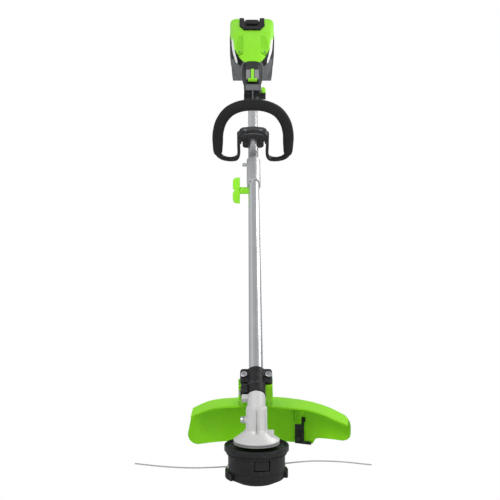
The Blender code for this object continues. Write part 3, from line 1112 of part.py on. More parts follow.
def rear_handle(shaft):
    """Two handle shells on the upper tube, with the lever, trigger, switch and dial between them."""
    bore = TUBE_RADIUS + CLEAR
    lever_slot = LEVER_WIDTH / 2.0 + 2.0 * CLEAR
    base_slot = LEVER_BASE_WIDTH / 2.0 + 2.0 * CLEAR
    trigger_slot = TRIGGER_WIDTH / 2.0 + 2.0 * CLEAR
    for name, side in (("handle_shell_left", -1.0), ("handle_shell_right", 1.0)):
        shell = place(name, form(HANDLE_SECTIONS, NOSE_T), "black", shaft)
        low, high = sorted((side * CLEAR / 2.0, side * 0.1))
        shape_with(shell, "INTERSECT", block((low, high), (-0.1, 0.1), (NOSE_T - 0.01, HANDLE_END + 0.01)),
                   shaft)
        cut(shell, rod(bore, NOSE_T - 0.01, UPPER_TUBE_END + CLEAR), shaft)
        cut(shell, rod(DRIVE_RADIUS + 0.0045, UPPER_TUBE_END - 0.01, HANDLE_END + 0.01), shaft)
        cut(shell, block((-0.0205, 0.0205), (0.0255, 0.05), (COLLAR_T + 0.004, COLLAR_END - 0.001)), shaft)
        cut(shell, block((-lever_slot, lever_slot), (0.0100, 0.05),
                         (LEVER_START - 0.002, LEVER_PIVOT_T + 0.010)), shaft)
        cut(shell, block((-base_slot, base_slot), (0.0160, 0.05),
                         (LEVER_START - 0.0015, LEVER_START + 0.0115)), shaft)
        cut(shell, block((-0.0190, 0.0190), (0.0255, 0.05), (LEVER_START + 0.0125, LEVER_PIVOT_T + 0.0360)),
            shaft)
        cut(shell, block((-trigger_slot, trigger_slot), (-0.06, -0.0100),
                         (TRIGGER_PIVOT_T - 0.0080, TRIGGER_PIVOT_T + 0.0562)), shaft)
        cut(shell, rod(0.0052, 0.020, 0.04, FINE_STEPS,
                       towards((1.0, 0.0, 0.0), shaft_point(0.0, 0.0, DIAL_T))), shaft)
        if side < 0.0:
            for n, t, reach in ((LEVER_PIVOT_N, LEVER_PIVOT_T, lever_slot),
                                (TRIGGER_PIVOT_N, TRIGGER_PIVOT_T, trigger_slot)):
                axle = towards((1.0, 0.0, 0.0), shaft_point(0.0, n, t))
                join(shell, rod(PIVOT_RADIUS, -reach - 0.002, reach - CLEAR, FINE_STEPS, axle), shaft)

    panel = round_box((-0.0200, COLLAR_T + 0.0045), (0.0200, COLLAR_END - 0.0015), 0.003)
    place("collar_panel", slab_n(panel, 0.0255 + CLEAR, 0.0279), "grey", shaft)
    arch = [(-0.0185, LEVER_START + 0.0130), (0.0185, LEVER_START + 0.0130),
            *arc((0.0095, LEVER_PIVOT_T + 0.0260), 0.0090, 0.0, 90.0, 5),
            *arc((-0.0095, LEVER_PIVOT_T + 0.0260), 0.0090, 90.0, 180.0, 5)]
    inlay = place("lever_inlay", slab_n(arch, 0.0255 + CLEAR, 0.0305), "grey", shaft)
    cut(inlay, block((-lever_slot, lever_slot), (0.02, 0.04), (LEVER_START, LEVER_PIVOT_T + 0.0100)), shaft)

    half = LEVER_WIDTH / 2.0
    profile = [
        (0.0215, LEVER_START), (0.0330, LEVER_START + 0.0010), (0.0355, LEVER_START + 0.0050),
        (0.0350, LEVER_START + 0.0110), (0.0340, LEVER_PIVOT_T - 0.0320), (0.0325, LEVER_PIVOT_T - 0.0020),
        (0.0290, LEVER_PIVOT_T + 0.0065), (0.0145, LEVER_PIVOT_T + 0.0060), (0.0130, LEVER_PIVOT_T),
        (0.0145, LEVER_PIVOT_T - 0.0080), (0.0235, LEVER_PIVOT_T - 0.0220), (0.0235, LEVER_START + 0.0110),
    ]
    pivot = shaft_point(0.0, LEVER_PIVOT_N, LEVER_PIVOT_T)
    lever = place("lockoff_lever", slab_x(profile, -half, half), "green", shaft, pivot)
    base = [(n, t) for n, t in profile[:4]] + [(0.0215, LEVER_START + 0.0100)]
    join(lever, slab_x(base, -LEVER_BASE_WIDTH / 2.0, LEVER_BASE_WIDTH / 2.0), shaft)
    cut(lever, rod(PIVOT_RADIUS + RUNNING, -0.02, 0.02, FINE_STEPS, towards((1.0, 0.0, 0.0), pivot)), shaft)
    rounded(lever, 0.0008)

    pivot = shaft_point(0.0, TRIGGER_PIVOT_N, TRIGGER_PIVOT_T)
    half = TRIGGER_WIDTH / 2.0
    profile = [(n, TRIGGER_PIVOT_T + along) for n, along in TRIGGER_PROFILE]
    trigger = place("trigger", slab_x(profile, -half, half), "black", shaft, pivot)
    cut(trigger, rod(PIVOT_RADIUS + RUNNING, -0.02, 0.02, FINE_STEPS, towards((1.0, 0.0, 0.0), pivot)),
        shaft)
    rounded(trigger, 0.0012)
    place("trigger_switch", block((-half + 0.001, half - 0.001), (-0.0150, -0.0103),
                                  (TRIGGER_PIVOT_T + 0.0260, TRIGGER_PIVOT_T + 0.0480)), "black", shaft)

    axis = towards((1.0, 0.0, 0.0), shaft_point(0.0, 0.0, DIAL_T))
    place("speed_dial", turned([
        (0.0, 0.0205), (0.0052 - RUNNING, 0.0205), (0.0052 - RUNNING, DIAL_INNER - 0.0012),
        (DIAL_RADIUS - 0.0010, DIAL_INNER - 0.0012), (DIAL_RADIUS, DIAL_INNER),
        (DIAL_RADIUS, DIAL_OUTER - 0.0050), (DIAL_RADIUS - 0.0020, DIAL_OUTER - 0.0014),
        (DIAL_RADIUS - 0.0060, DIAL_OUTER), (0.0, DIAL_OUTER),
    ], STEPS, frame=axis), "green", shaft, shaft_point(0.0, 0.0, DIAL_T))


def foot():
    """The square-cornered foot under the power head."""
    rear = HOUSING_END - 0.008
    rings = []
    for n, half, setback in FOOT_SECTIONS:
        front = HOUSING_START + setback
        corners = ((-half, front), (half, front), (half, rear), (-half, rear))
        rings.append([shaft_point(x, n, t) for x, t in corners])
    return lofted(rings)


def terminal_solid(grow):
    """The battery terminals' block through the bay's front wall, or with grow the room for it."""
    return block((-TERMINAL_HALF - grow, TERMINAL_HALF + grow), (TERMINAL_LOW - grow, TERMINAL_HIGH + grow),
                 (BAY_START - 0.0105, BAY_START + TERMINAL_REACH))


def power_head(shaft):
    """The motor housing in two shells under a green cover, with the motor, board and battery."""
    seam = SPLIT_N - CLEAR
    bay = (BAY_START, HOUSING_END + 0.02)
    whole = (HOUSING_START - 0.01, HOUSING_END + 0.01)
    for name, side in (("motor_shell_left", -1.0), ("motor_shell_right", 1.0)):
        shell = place(name, form(HOUSING_SECTIONS, HOUSING_START), "grey", shaft)
        join(shell, foot(), shaft)
        low, high = sorted((side * CLEAR / 2.0, side * 0.1))
        shape_with(shell, "INTERSECT", block((low, high), (-0.1, seam), whole), shaft)
        cut(shell, rod(MOTOR_RADIUS + 2.0 * CLEAR, MOTOR_START - CLEAR, MOTOR_END + 0.012), shaft)
        cut(shell, rod(DRIVE_RADIUS + 0.0045, HOUSING_START - 0.01, MOTOR_START + 0.01), shaft)
        cut(shell, block((-BAY_HALF_WIDTH, BAY_HALF_WIDTH), (BAY_BOTTOM, BAY_TOP), bay), shaft)
        cut(shell, block((-BOARD_HALF, BOARD_HALF), (BOARD_FLOOR, BOARD_FLOOR + 0.012),
                         (BOARD_START, BAY_START)), shaft)
        cut(shell, terminal_solid(CLEAR), shaft)
        for k in range(5):
            t = BAY_START + 0.0150 * (k + 1)
            slot = [(-0.050, t), (0.004, t + 0.020), (0.004, t + 0.025), (-0.050, t + 0.005)]
            low_x, high_x = sorted((side * 0.0665, side * 0.1))
            cut(shell, slab_x(slot, low_x, high_x), shaft)

    cover = place("top_cover", form(HOUSING_SECTIONS, HOUSING_START), "green", shaft)
    shape_with(cover, "INTERSECT", block((-0.1, 0.1), (SPLIT_N, 0.1), whole), shaft)
    cut(cover, rod(MOTOR_RADIUS + 2.0 * CLEAR, MOTOR_START - CLEAR, MOTOR_END + 0.012), shaft)
    cut(cover, block((-BAY_HALF_WIDTH, BAY_HALF_WIDTH), (BAY_BOTTOM, BAY_TOP), bay), shaft)
    for side in (-1.0, 1.0):
        scoop = [(side * x, along) for x, along in SCOOP_OUTLINE]
        rings = [[shaft_point(x * (1.0 + k * 0.10),
                              0.0560 - 0.010 * (1.0 - k) - abs(x) * 0.09 + along * 0.17,
                              MOTOR_END + along) for x, along in scoop] for k in (0.0, 1.0)]
        cut(cover, lofted(rings), shaft)
    bezel_room = [(-BEZEL_FRONT_HALF, BEZEL_START), (BEZEL_FRONT_HALF, BEZEL_START),
                  (BEZEL_REAR_HALF, BEZEL_START + 0.027), (BEZEL_REAR_HALF, HOUSING_END + 0.01),
                  (-BEZEL_REAR_HALF, HOUSING_END + 0.01), (-BEZEL_REAR_HALF, BEZEL_START + 0.027)]
    cut(cover, slab_n(bezel_room, BAY_TOP - 0.0021, 0.09), shaft)

    inside = 1.0 - CLEAR / BEZEL_FRONT_HALF
    front, rear = BEZEL_START + CLEAR, HOUSING_END - 0.001
    bezel = place("latch_bezel", slab_n([
        (-BEZEL_FRONT_HALF * inside, front), (BEZEL_FRONT_HALF * inside, front),
        (BEZEL_REAR_HALF - CLEAR, BEZEL_START + 0.0275),
        (BEZEL_REAR_HALF - CLEAR, rear), (0.0275, rear), (0.0265, BEZEL_START + 0.037),
        (0.0200, BEZEL_START + 0.023), (-0.0200, BEZEL_START + 0.023),
        (-0.0265, BEZEL_START + 0.037), (-0.0275, rear), (-BEZEL_REAR_HALF + CLEAR, rear),
        (-BEZEL_REAR_HALF + CLEAR, BEZEL_START + 0.0275),
    ], BAY_TOP + CLEAR, 0.0665), "black", shaft)
    rounded(bezel, 0.0010)

    stator_inner = MOTOR_RADIUS - 0.011
    stator = place("motor_stator", pipe(MOTOR_RADIUS, stator_inner, MOTOR_START, MOTOR_END), "copper", shaft)
    for k in range(9):
        slot = block((-0.0012, 0.0012), (stator_inner - 0.002, MOTOR_RADIUS - 0.004),
                     (MOTOR_START - 0.01, MOTOR_END + 0.01))
        slot.transform(Matrix.Rotation(2.0 * math.pi * k / 9.0, 4, "Z"))
        cut(stator, slot, shaft)
    rotor = place("motor_rotor", pipe(stator_inner - 2.0 * RUNNING, DRIVE_RADIUS + CLEAR,
                                      MOTOR_START + 0.004, MOTOR_END - 0.006), "steel", shaft)
    join(rotor, rod(0.0065, MOTOR_START + 0.014, MOTOR_END + 0.004), shaft)
    half = BOARD_HALF - 2.0 * CLEAR
    place("controller_board", block((-half, half), (BOARD_FLOOR + CLEAR, BOARD_FLOOR + 0.0023),
                                    (BOARD_START + 2.0 * CLEAR, BAY_START - 0.002)), "board", shaft)
    place("terminal_block", terminal_solid(0.0), "black", shaft)

    half = BAY_HALF_WIDTH - BATTERY_GAP
    case = round_box((-half, BAY_BOTTOM + BATTERY_GAP), (half, BAY_TOP - BATTERY_GAP), 0.008)
    battery = place("battery_pack", slab_t(case, BAY_START + 0.001, HOUSING_END + 0.002), "black", shaft)
    tail = round_box((-half - 0.010, BAY_BOTTOM - 0.006), (half + 0.010, BAY_TOP - 0.003), 0.012)
    ends = ((0.97, HOUSING_END + 0.0008), (1.0, HOUSING_END + 0.005), (1.0, BATTERY_END - 0.006),
            (0.94, BATTERY_END))
    join(battery, lofted([[shaft_point(x * s, n * s, t) for x, n in tail] for s, t in ends]), shaft)
    gap = BATTERY_GAP
    cut(battery, block((-TERMINAL_HALF - gap, TERMINAL_HALF + gap),
                       (TERMINAL_LOW - gap, TERMINAL_HIGH + gap),
                       (BAY_START - 0.01, BAY_START + TERMINAL_REACH + gap)), shaft)
    neck = [(-0.0180, BEZEL_START + 0.041), (0.0180, BEZEL_START + 0.041), (0.0215, HOUSING_END + 0.006),
            (-0.0215, HOUSING_END + 0.006)]
    join(battery, slab_n(neck, BAY_TOP - 0.004, 0.0570), shaft)
    latch_low, latch_high = BEZEL_START + 0.045, BEZEL_START + 0.078
    latch_room = round_box((-LATCH_HALF - CLEAR, latch_low), (LATCH_HALF + CLEAR, latch_high), 0.003)
    cut(battery, slab_n(latch_room, 0.0500, 0.07), shaft)
    latch = round_box((-LATCH_HALF + CLEAR, latch_low + 2.0 * CLEAR),
                      (LATCH_HALF - CLEAR, latch_high - 2.0 * CLEAR), 0.003)
    place("battery_latch", slab_n(latch, 0.0540, 0.0640), "black", shaft)


def build():
    clear_scene()
    shaft = shaft_frame()
    head = head_frame()
    spool_head(head)
    cutting_line("cutting_line_left", LEFT_ROUTE, -1.0, head)
    cutting_line("cutting_line_right", RIGHT_ROUTE, 1.0, head)
    gearbox(shaft)
    guard(shaft)
    shafts(shaft)
    coupler(shaft)
    loop_handle(shaft)
    rear_handle(shaft)
    power_head(shaft)


build()
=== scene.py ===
"""The looks of a cordless string trimmer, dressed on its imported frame."""
import json
import math

import bmesh
import bpy
from mathutils import Matrix, Vector

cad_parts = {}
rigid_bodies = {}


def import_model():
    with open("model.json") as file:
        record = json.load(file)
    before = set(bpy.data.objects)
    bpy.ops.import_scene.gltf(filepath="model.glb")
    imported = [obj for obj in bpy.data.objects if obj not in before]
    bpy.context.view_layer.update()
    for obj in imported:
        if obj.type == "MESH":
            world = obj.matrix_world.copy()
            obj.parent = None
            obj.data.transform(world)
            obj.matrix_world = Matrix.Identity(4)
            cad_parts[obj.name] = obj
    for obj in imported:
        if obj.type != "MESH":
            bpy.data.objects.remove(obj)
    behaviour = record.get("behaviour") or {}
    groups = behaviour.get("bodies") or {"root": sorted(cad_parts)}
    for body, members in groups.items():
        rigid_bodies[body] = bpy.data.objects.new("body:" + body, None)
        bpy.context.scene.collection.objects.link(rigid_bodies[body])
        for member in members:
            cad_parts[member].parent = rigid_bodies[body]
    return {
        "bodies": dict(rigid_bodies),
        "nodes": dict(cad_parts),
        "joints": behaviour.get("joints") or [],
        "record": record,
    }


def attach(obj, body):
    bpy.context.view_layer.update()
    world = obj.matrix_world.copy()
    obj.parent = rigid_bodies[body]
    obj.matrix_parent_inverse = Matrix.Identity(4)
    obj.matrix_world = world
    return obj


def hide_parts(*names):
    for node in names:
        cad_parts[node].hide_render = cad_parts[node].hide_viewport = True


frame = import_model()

RECORD = frame["record"]
NODES = frame["nodes"]
BODY_OF = {node: body for body, members in RECORD["behaviour"]["bodies"].items() for node in members}
SLOT_OF = {row["node"]: row["material_slot"] for row in RECORD["subparts"]}
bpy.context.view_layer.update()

# Sides of round shapes
STEPS = 72
FINE_STEPS = 36
HEAD_STEPS = 120
LOOP_SIDES = 28
OVAL_POINTS = 88

# Gaps between pieces that stay together and round pieces that turn or slide
CLEAR = 0.0003
RUNNING = 0.0004

# Shaft
SHAFT_ANGLE = 40.4
TUBE_RADIUS = 0.013
TUBE_WALL = 0.0015
LOWER_TUBE_START = 0.021
LOWER_TUBE_END = 0.772
TUBE_GAP = 0.0015
UPPER_TUBE_START = LOWER_TUBE_END + TUBE_GAP
DRIVE_RADIUS = 0.004

# Spool head, about the Z axis, turned as it stopped
HEAD_TURN = 10.6
KNOB_FACE_RADIUS = 0.026
KNOB_RADIUS = 0.0295
KNOB_HEIGHT = 0.0095
CAP_LIP_HEIGHT = 0.0016
CAP_EDGE_HEIGHT = 0.01
HEAD_WAIST_RADIUS = 0.049
HEAD_SPLIT_HEIGHT = 0.021
LOBE_RADIUS = 0.0545
LOBE_HALF_ANGLE = 26.0
HEAD_STEP_RADIUS = 0.0515
HEAD_STEP_HEIGHT = 0.048
HEAD_RIM_RADIUS = 0.056
HEAD_RIM_HEIGHT = 0.0545
HEAD_TOP_HEIGHT = 0.064
HEAD_WALL = 0.0028
TAB_WIDTH = 0.0268
TAB_LOW_HEIGHT = 0.03
TAB_TOP_HEIGHT = 0.0475
TAB_SLIT = 0.00204
HOOK_GAP = 0.0012
TAB_HOOK = 0.0024
SPOOL_HUB_RADIUS = 0.017
SPOOL_BOTTOM_HEIGHT = 0.013
SPOOL_TOP_HEIGHT = 0.045
EYELET_HEIGHT = 0.028
EYELET_RADIUS = 0.0042
LINE_RADIUS = 0.0012
LINE_TIP_RADIUS = 0.2085

# Gearbox
SPINDLE_RADIUS = 0.005
HEAD_CLEARANCE = 0.0023
DUST_RING_HEIGHT = HEAD_TOP_HEIGHT + HEAD_CLEARANCE
DUST_RING_DEPTH = 0.0037
CONE_HEIGHT = DUST_RING_HEIGHT + DUST_RING_DEPTH
CONE_RADIUS = 0.04
CONE_RISE = 0.02
BODY_LOW_HEIGHT = CONE_HEIGHT + CONE_RISE
BODY_RADIUS = 0.0187
APEX_RISE = 0.03
APEX_HEIGHT = BODY_LOW_HEIGHT + APEX_RISE
GEAR_HEADROOM = 0.01
BODY_TOP_HEIGHT = APEX_HEIGHT + GEAR_HEADROOM
NECK_RADIUS = 0.0158
NECK_SHOULDER = 0.034
NECK_END = 0.054
BAND_WALL = 0.0022
EAR_LOW = -0.008
EAR_HIGH = 0.0105

# Guard
GUARD_CLEARANCE = 0.0085
GUARD_RADIUS = LINE_TIP_RADIUS + GUARD_CLEARANCE
GUARD_WALL = 0.003
GUARD_CORNER = 0.012
GUARD_LEFT = 40.0
GUARD_RIGHT = 58.0
TONGUE_START = 0.0565
TONGUE_LEFT = -0.0325
TONGUE_RIGHT = 0.0315
CLAMP_START = 0.056
CLAMP_LENGTH = 0.0335
CLAMP_WALL = 0.0027
EAR_THICKNESS = 0.008
EAR_REACH = 0.029
GUARD_BOLT_SPACING = 0.044
GUARD_BOLT_RADIUS = 0.0025
GUARD_BOLT_HEAD = 0.006
BLADE_ANGLE = 24.7
BLADE_WIDTH = 0.0185
BLADE_THICKNESS = 0.002
BLADE_TOE = 0.016
BLADE_LOW = 0.015
BLADE_HIGH = 0.053
BLADE_SEAT = 0.041
BOSS_TOP = 0.0955
BLADE_EDGE_RADIUS = LINE_TIP_RADIUS + 0.001

# Coupler
COUPLER_START = 0.668
COUPLER_END = 0.796
COUPLER_RADIUS = 0.017
COUPLER_DEPTH = 0.03
COUPLER_EAR_HALF = 0.0085
COUPLER_SLANT = 0.015
COUPLER_SLOT = 0.003
COUPLER_SLOT_END = 0.735
KNOB_T = 0.682
KNOB_N = -0.0215
WING_REACH = 0.0315
WING_INNER = 0.0335
WING_OUTER = 0.051
WING_HALF = 0.0085
STUD_RADIUS = 0.003
KNOB_HUB_RADIUS = 0.0085
NUT_RADIUS = 0.0055
PIN_T = 0.762
PIN_RADIUS = 0.003
PIN_HEAD_RADIUS = 0.0044

# Loop handle
LOOP_T = 0.905
LOOP_TOP = 0.0895
LOOP_SIDE = 0.0945
LOOP_BOTTOM = 0.0765
LEG_X = 0.0385
GRIP_RADIUS = 0.0146
CORE_RADIUS = 0.0088
BAR_RADIUS = 0.0056
LEG_HALF_DEPTH = 0.0125
SADDLE_WIDTH = 0.078
SADDLE_LENGTH = 0.035
SADDLE_SETBACK = 0.018
SADDLE_TOP = 0.025
LOWER_CLAMP_WIDTH = 0.056
SCREW_SPACING_X = 0.04
SCREW_OFFSET_T = 0.004
SCREW_RADIUS = 0.0022

# Rear handle
NOSE_T = 1.045
NOSE_LENGTH = 0.051
COLLAR_T = NOSE_T + NOSE_LENGTH
TUBE_GRIP = 0.016
UPPER_TUBE_END = COLLAR_T + TUBE_GRIP
COLLAR_LENGTH = 0.054
COLLAR_END = COLLAR_T + COLLAR_LENGTH
GRIP_LENGTH = 0.1265
HANDLE_END = COLLAR_END + GRIP_LENGTH
LEVER_START = COLLAR_END + 0.003
LEVER_REACH = 0.079
LEVER_PIVOT_T = LEVER_START + LEVER_REACH
LEVER_PIVOT_N = 0.0175
LEVER_WIDTH = 0.01
LEVER_BASE_WIDTH = 0.026
TRIGGER_SETBACK = 0.02
TRIGGER_PIVOT_T = COLLAR_END + TRIGGER_SETBACK
TRIGGER_PIVOT_N = -0.021
TRIGGER_WIDTH = 0.014
PIVOT_RADIUS = 0.002
DIAL_SETBACK = 0.016
DIAL_T = COLLAR_END - DIAL_SETBACK
DIAL_RADIUS = 0.0165
DIAL_INNER = 0.0265
DIAL_OUTER = 0.038

# Power head
HANDLE_GAP = 0.0015
HOUSING_START = HANDLE_END + HANDLE_GAP
HOUSING_LENGTH = 0.232
HOUSING_END = HOUSING_START + HOUSING_LENGTH
SPLIT_N = 0.025
MOTOR_RADIUS = 0.031
MOTOR_SETBACK = 0.022
MOTOR_START = HOUSING_START + MOTOR_SETBACK
MOTOR_LENGTH = 0.08
MOTOR_END = MOTOR_START + MOTOR_LENGTH
BAY_WALL = 0.02
BAY_START = MOTOR_END + BAY_WALL
BAY_HALF_WIDTH = 0.0425
BAY_TOP = 0.05
BAY_BOTTOM = -0.04
BATTERY_TAIL = 0.026
BATTERY_END = HOUSING_END + BATTERY_TAIL
BATTERY_GAP = 0.001
BEZEL_SETBACK = 0.025
BEZEL_START = BAY_START + BEZEL_SETBACK
BEZEL_FRONT_HALF = 0.025
BEZEL_REAR_HALF = 0.04
LATCH_HALF = 0.017
BOARD_HALF = 0.037
BOARD_FLOOR = -0.056
BOARD_SETBACK = 0.03
BOARD_START = MOTOR_START + BOARD_SETBACK
TERMINAL_HALF = 0.02
TERMINAL_LOW = -0.03
TERMINAL_HIGH = -0.01
TERMINAL_REACH = 0.006


WORLD = Matrix.Identity(4)
SHAFT = (Matrix.Translation((0.0, 0.0, APEX_HEIGHT))
         @ Matrix.Rotation(math.radians(SHAFT_ANGLE - 90.0), 4, "X"))
HEAD = Matrix.Rotation(math.radians(HEAD_TURN), 4, "Z")


def linked(name, data):
    """A new object in the scene."""
    made = bpy.data.objects.new(name, data)
    bpy.context.scene.collection.objects.link(made)
    return made


# Camera, as the photograph was taken: level, a little to the left, 1.3 m in front of the head
CAMERA_AT = (-0.0174, -1.281, 0.4)
CAMERA_YAW = -0.27
CAMERA_LENS = 53.3


def make_camera():
    """The camera of the photograph."""
    data = bpy.data.cameras.new("camera")
    data.lens = CAMERA_LENS
    data.sensor_width = 36.0
    data.clip_start, data.clip_end = 0.05, 50.0
    camera = linked("camera", data)
    camera.location = CAMERA_AT
    camera.rotation_euler = (math.radians(90.0), 0.0, math.radians(CAMERA_YAW))
    bpy.context.scene.camera = camera


make_camera()


# Materials
def add(tree, kind, values=None, **settings):
    """A shader node; values are its inputs, each a number, a tuple or the socket that feeds it."""
    made = tree.nodes.new("ShaderNode" + kind)
    for key, value in settings.items():
        setattr(made, key, value)
    for key, value in (values or {}).items():
        if isinstance(value, bpy.types.NodeSocket):
            tree.links.new(value, made.inputs[key])
        else:
            made.inputs[key].default_value = value
    return made


def scaled_noise(tree, scale, detail=3.0, stretch=None, frame_matrix=None):
    """Noise over the object's own coordinates, in features per metre; stretch draws it out along one axis."""
    source = add(tree, "TexCoord").outputs["Object"]
    if frame_matrix is not None:
        turn = frame_matrix.inverted().to_euler()
        source = add(tree, "Mapping", {"Vector": source, "Rotation": turn}).outputs["Vector"]
    if stretch is not None:
        source = add(tree, "Mapping", {"Vector": source, "Scale": stretch}).outputs["Vector"]
    return add(tree, "TexNoise", {"Vector": source, "Scale": scale, "Detail": detail}).outputs["Fac"]


def spread(tree, value, low, high, from_low=0.3, from_high=0.7, curve="LINEAR"):
    """value mapped from its usual span to low and high."""
    spans = {"Value": value, "From Min": from_low, "From Max": from_high, "To Min": low, "To Max": high}
    return add(tree, "MapRange", spans, interpolation_type=curve).outputs["Result"]


def mixed(tree, share, first, second):
    """first and second, colours or sockets, mixed by share."""
    first, second = ((*colour, 1.0) if isinstance(colour, tuple) else colour for colour in (first, second))
    return add(tree, "Mix", {"Factor": share, 6: first, 7: second}, data_type="RGBA").outputs[2]


def sum_of(tree, operation, *terms):
    """The terms taken together by one operation."""
    return add(tree, "Math", dict(enumerate(terms)), operation=operation).outputs["Value"]


def seen_or_lit(tree, seen, lit, output):
    """What the camera sees and what lights the object, as two shaders."""
    share = add(tree, "LightPath").outputs["Is Camera Ray"]
    both = add(tree, "MixShader", {"Fac": share, 1: lit, 2: seen})
    tree.links.new(both.outputs["Shader"], tree.nodes[output].inputs["Surface"])


def finish_of(name, colour, roughness, metallic=0.0, grain=1400.0, bump=0.12, depth=0.00012, variation=0.05,
              wear=None, wear_share=0.35, rough_spread=0.06, streak=None, specular=0.5):
    """A named material: colour that varies, worn edges, uneven gloss and a fine moulded grain."""
    mat = bpy.data.materials.new(name)
    mat.use_nodes = True
    tree = mat.node_tree
    shader = tree.nodes["Principled BSDF"]
    slow = scaled_noise(tree, 22.0, 4.0)
    fine = scaled_noise(tree, grain, 2.0, *(streak or (None, None)))
    dark = tuple(c * (1.0 - variation) for c in colour)
    light = tuple(min(1.0, c * (1.0 + variation)) for c in colour)
    base = mixed(tree, spread(tree, slow, 0.0, 1.0), dark, light)
    base = mixed(tree, spread(tree, fine, 0.0, 0.3), base, tuple(c * (1.0 - 1.6 * variation) for c in colour))
    if wear is not None:
        edges = spread(tree, add(tree, "NewGeometry").outputs["Pointiness"], 0.0, 1.0, 0.515, 0.58)
        scuffs = spread(tree, scaled_noise(tree, 160.0, 5.0), 0.0, wear_share, 0.42, 0.62)
        base = mixed(tree, sum_of(tree, "MULTIPLY", edges, scuffs), base, wear)
    relief = add(tree, "Bump", {"Strength": bump, "Distance": depth, "Height": fine})
    uneven = spread(tree, slow, roughness - rough_spread, roughness + rough_spread)
    for source, socket in ((base, "Base Color"), (uneven, "Roughness"), (relief.outputs["Normal"], "Normal")):
        tree.links.new(source, shader.inputs[socket])
    shader.inputs["Metallic"].default_value = metallic
    shader.inputs["Specular IOR Level"].default_value = specular
    return mat


ALONG_SHAFT = ((1.0, 1.0, 0.02), SHAFT)
LOOKS = {
    "green": finish_of("housing_green", (0.315, 0.86, 0.03), 0.36, wear=(0.36, 0.87, 0.07), variation=0.03,
                       grain=1100.0, bump=0.1, specular=0.26),
    # A darker green for the plates on the cover's recess floors: painted shade, where the recesses are
    # shaded.
    "green_painted_shade": finish_of("painted_shade_green", (0.252, 0.73, 0.019), 0.44, wear=(0.28, 0.74, 0.04),
                             variation=0.03, grain=1100.0, bump=0.14, specular=0.2),
    "guard_green": finish_of("guard_green", (0.262, 0.71, 0.006), 0.44, wear=(0.32, 0.76, 0.04),
                             variation=0.045, grain=900.0, bump=0.14, specular=0.22),
    "black": finish_of("nylon_black", (0.0105, 0.0105, 0.0112), 0.48, wear=(0.1, 0.1, 0.1), variation=0.15,
                       grain=1500.0, bump=0.22, specular=0.24),
    "deep_black": finish_of("deep_black", (0.0055, 0.0055, 0.006), 0.5, wear=(0.07, 0.07, 0.07),
                            variation=0.15, grain=1500.0, bump=0.2, specular=0.17),
    # A lighter, glossier black for the saddle's top plate: a satin finish, and painted light where that top
    # face is lit.
    "satin_black_painted_light": finish_of("satin_black_painted_light", (0.03, 0.03, 0.031), 0.34, wear=(0.1, 0.1, 0.1), variation=0.12,
                             grain=1500.0, bump=0.16, specular=0.45),
    "soft_black": finish_of("soft_black", (0.012, 0.012, 0.0125), 0.72, variation=0.12, grain=2200.0,
                            bump=0.4, rough_spread=0.04, wear=(0.04, 0.04, 0.04), specular=0.24),
    "grey": finish_of("moulded_grey", (0.132, 0.133, 0.137), 0.44, wear=(0.3, 0.3, 0.31), variation=0.06,
                      grain=1300.0, bump=0.18, specular=0.3),
    "tube": finish_of("satin_tube", (0.6, 0.6, 0.605), 0.27, metallic=1.0, variation=0.03, grain=2600.0,
                      bump=0.02, depth=0.00002, streak=ALONG_SHAFT, rough_spread=0.03),
    "cast": finish_of("cast_grey", (0.6, 0.595, 0.58), 0.46, metallic=0.25, variation=0.05, grain=1000.0,
                      bump=0.25, depth=0.00015, wear=(0.85, 0.85, 0.85)),
    "coupler": finish_of("anodised_grey", (0.53, 0.53, 0.535), 0.42, metallic=0.85, variation=0.04,
                         grain=2400.0, bump=0.03, depth=0.00003, streak=ALONG_SHAFT, wear=(0.75, 0.75, 0.75),
                         rough_spread=0.03),
    "steel": finish_of("zinc_steel", (0.52, 0.52, 0.53), 0.32, metallic=1.0, variation=0.06, grain=1800.0,
                       bump=0.06, depth=0.00005, rough_spread=0.08),
    "silver": finish_of("silver_trim", (0.94, 0.94, 0.94), 0.3, metallic=0.1, variation=0.03, grain=1800.0,
                        bump=0.04, depth=0.00003),
    "light_grey": finish_of("light_grey", (0.28, 0.28, 0.285), 0.42, variation=0.05, grain=1300.0, bump=0.15,
                            specular=0.3),
    "blade": finish_of("black_steel", (0.012, 0.012, 0.013), 0.42, metallic=0.3, variation=0.1, grain=1200.0,
                       bump=0.15, wear=(0.35, 0.35, 0.36), wear_share=0.6, specular=0.3),
    "copper": finish_of("winding_copper", (0.72, 0.36, 0.18), 0.34, metallic=1.0, grain=900.0),
    "line": finish_of("nylon_line", (0.36, 0.36, 0.37), 0.36, variation=0.08, grain=1600.0, bump=0.1),
    "board": finish_of("circuit_board", (0.03, 0.18, 0.07), 0.45, grain=700.0),
}


# Shapes
def shaft_point(x, n, t):
    """A point of the shaft's frame in the shaft empty's own axes."""
    return Vector((x, -n, t))


def world_of(x, n, t):
    """The same point in the world."""
    angle = math.radians(SHAFT_ANGLE)
    across = t * math.cos(angle) - n * math.sin(angle)
    return Vector((x, across, APEX_HEIGHT + t * math.sin(angle) + n * math.cos(angle)))


def towards(direction, at):
    """A frame at at whose Z axis runs along direction."""
    turn = Vector(direction).to_track_quat("Z", "Y").to_matrix().to_4x4()
    return Matrix.Translation(at) @ turn


def bridge(bm, rows, closed):
    """Faces between each row of points and the next; a row of one point is a pole."""
    pairs = list(zip(rows, rows[1:]))
    if closed:
        pairs.append((rows[-1], rows[0]))
    count = max(len(row) for row in rows)
    for low, high in pairs:
        for i in range(count):
            j = (i + 1) % count
            corners = [low[i % len(low)], low[j % len(low)], high[j % len(high)], high[i % len(high)]]
            face = list(dict.fromkeys(corners))
            if len(face) > 2:
                bm.faces.new(face)


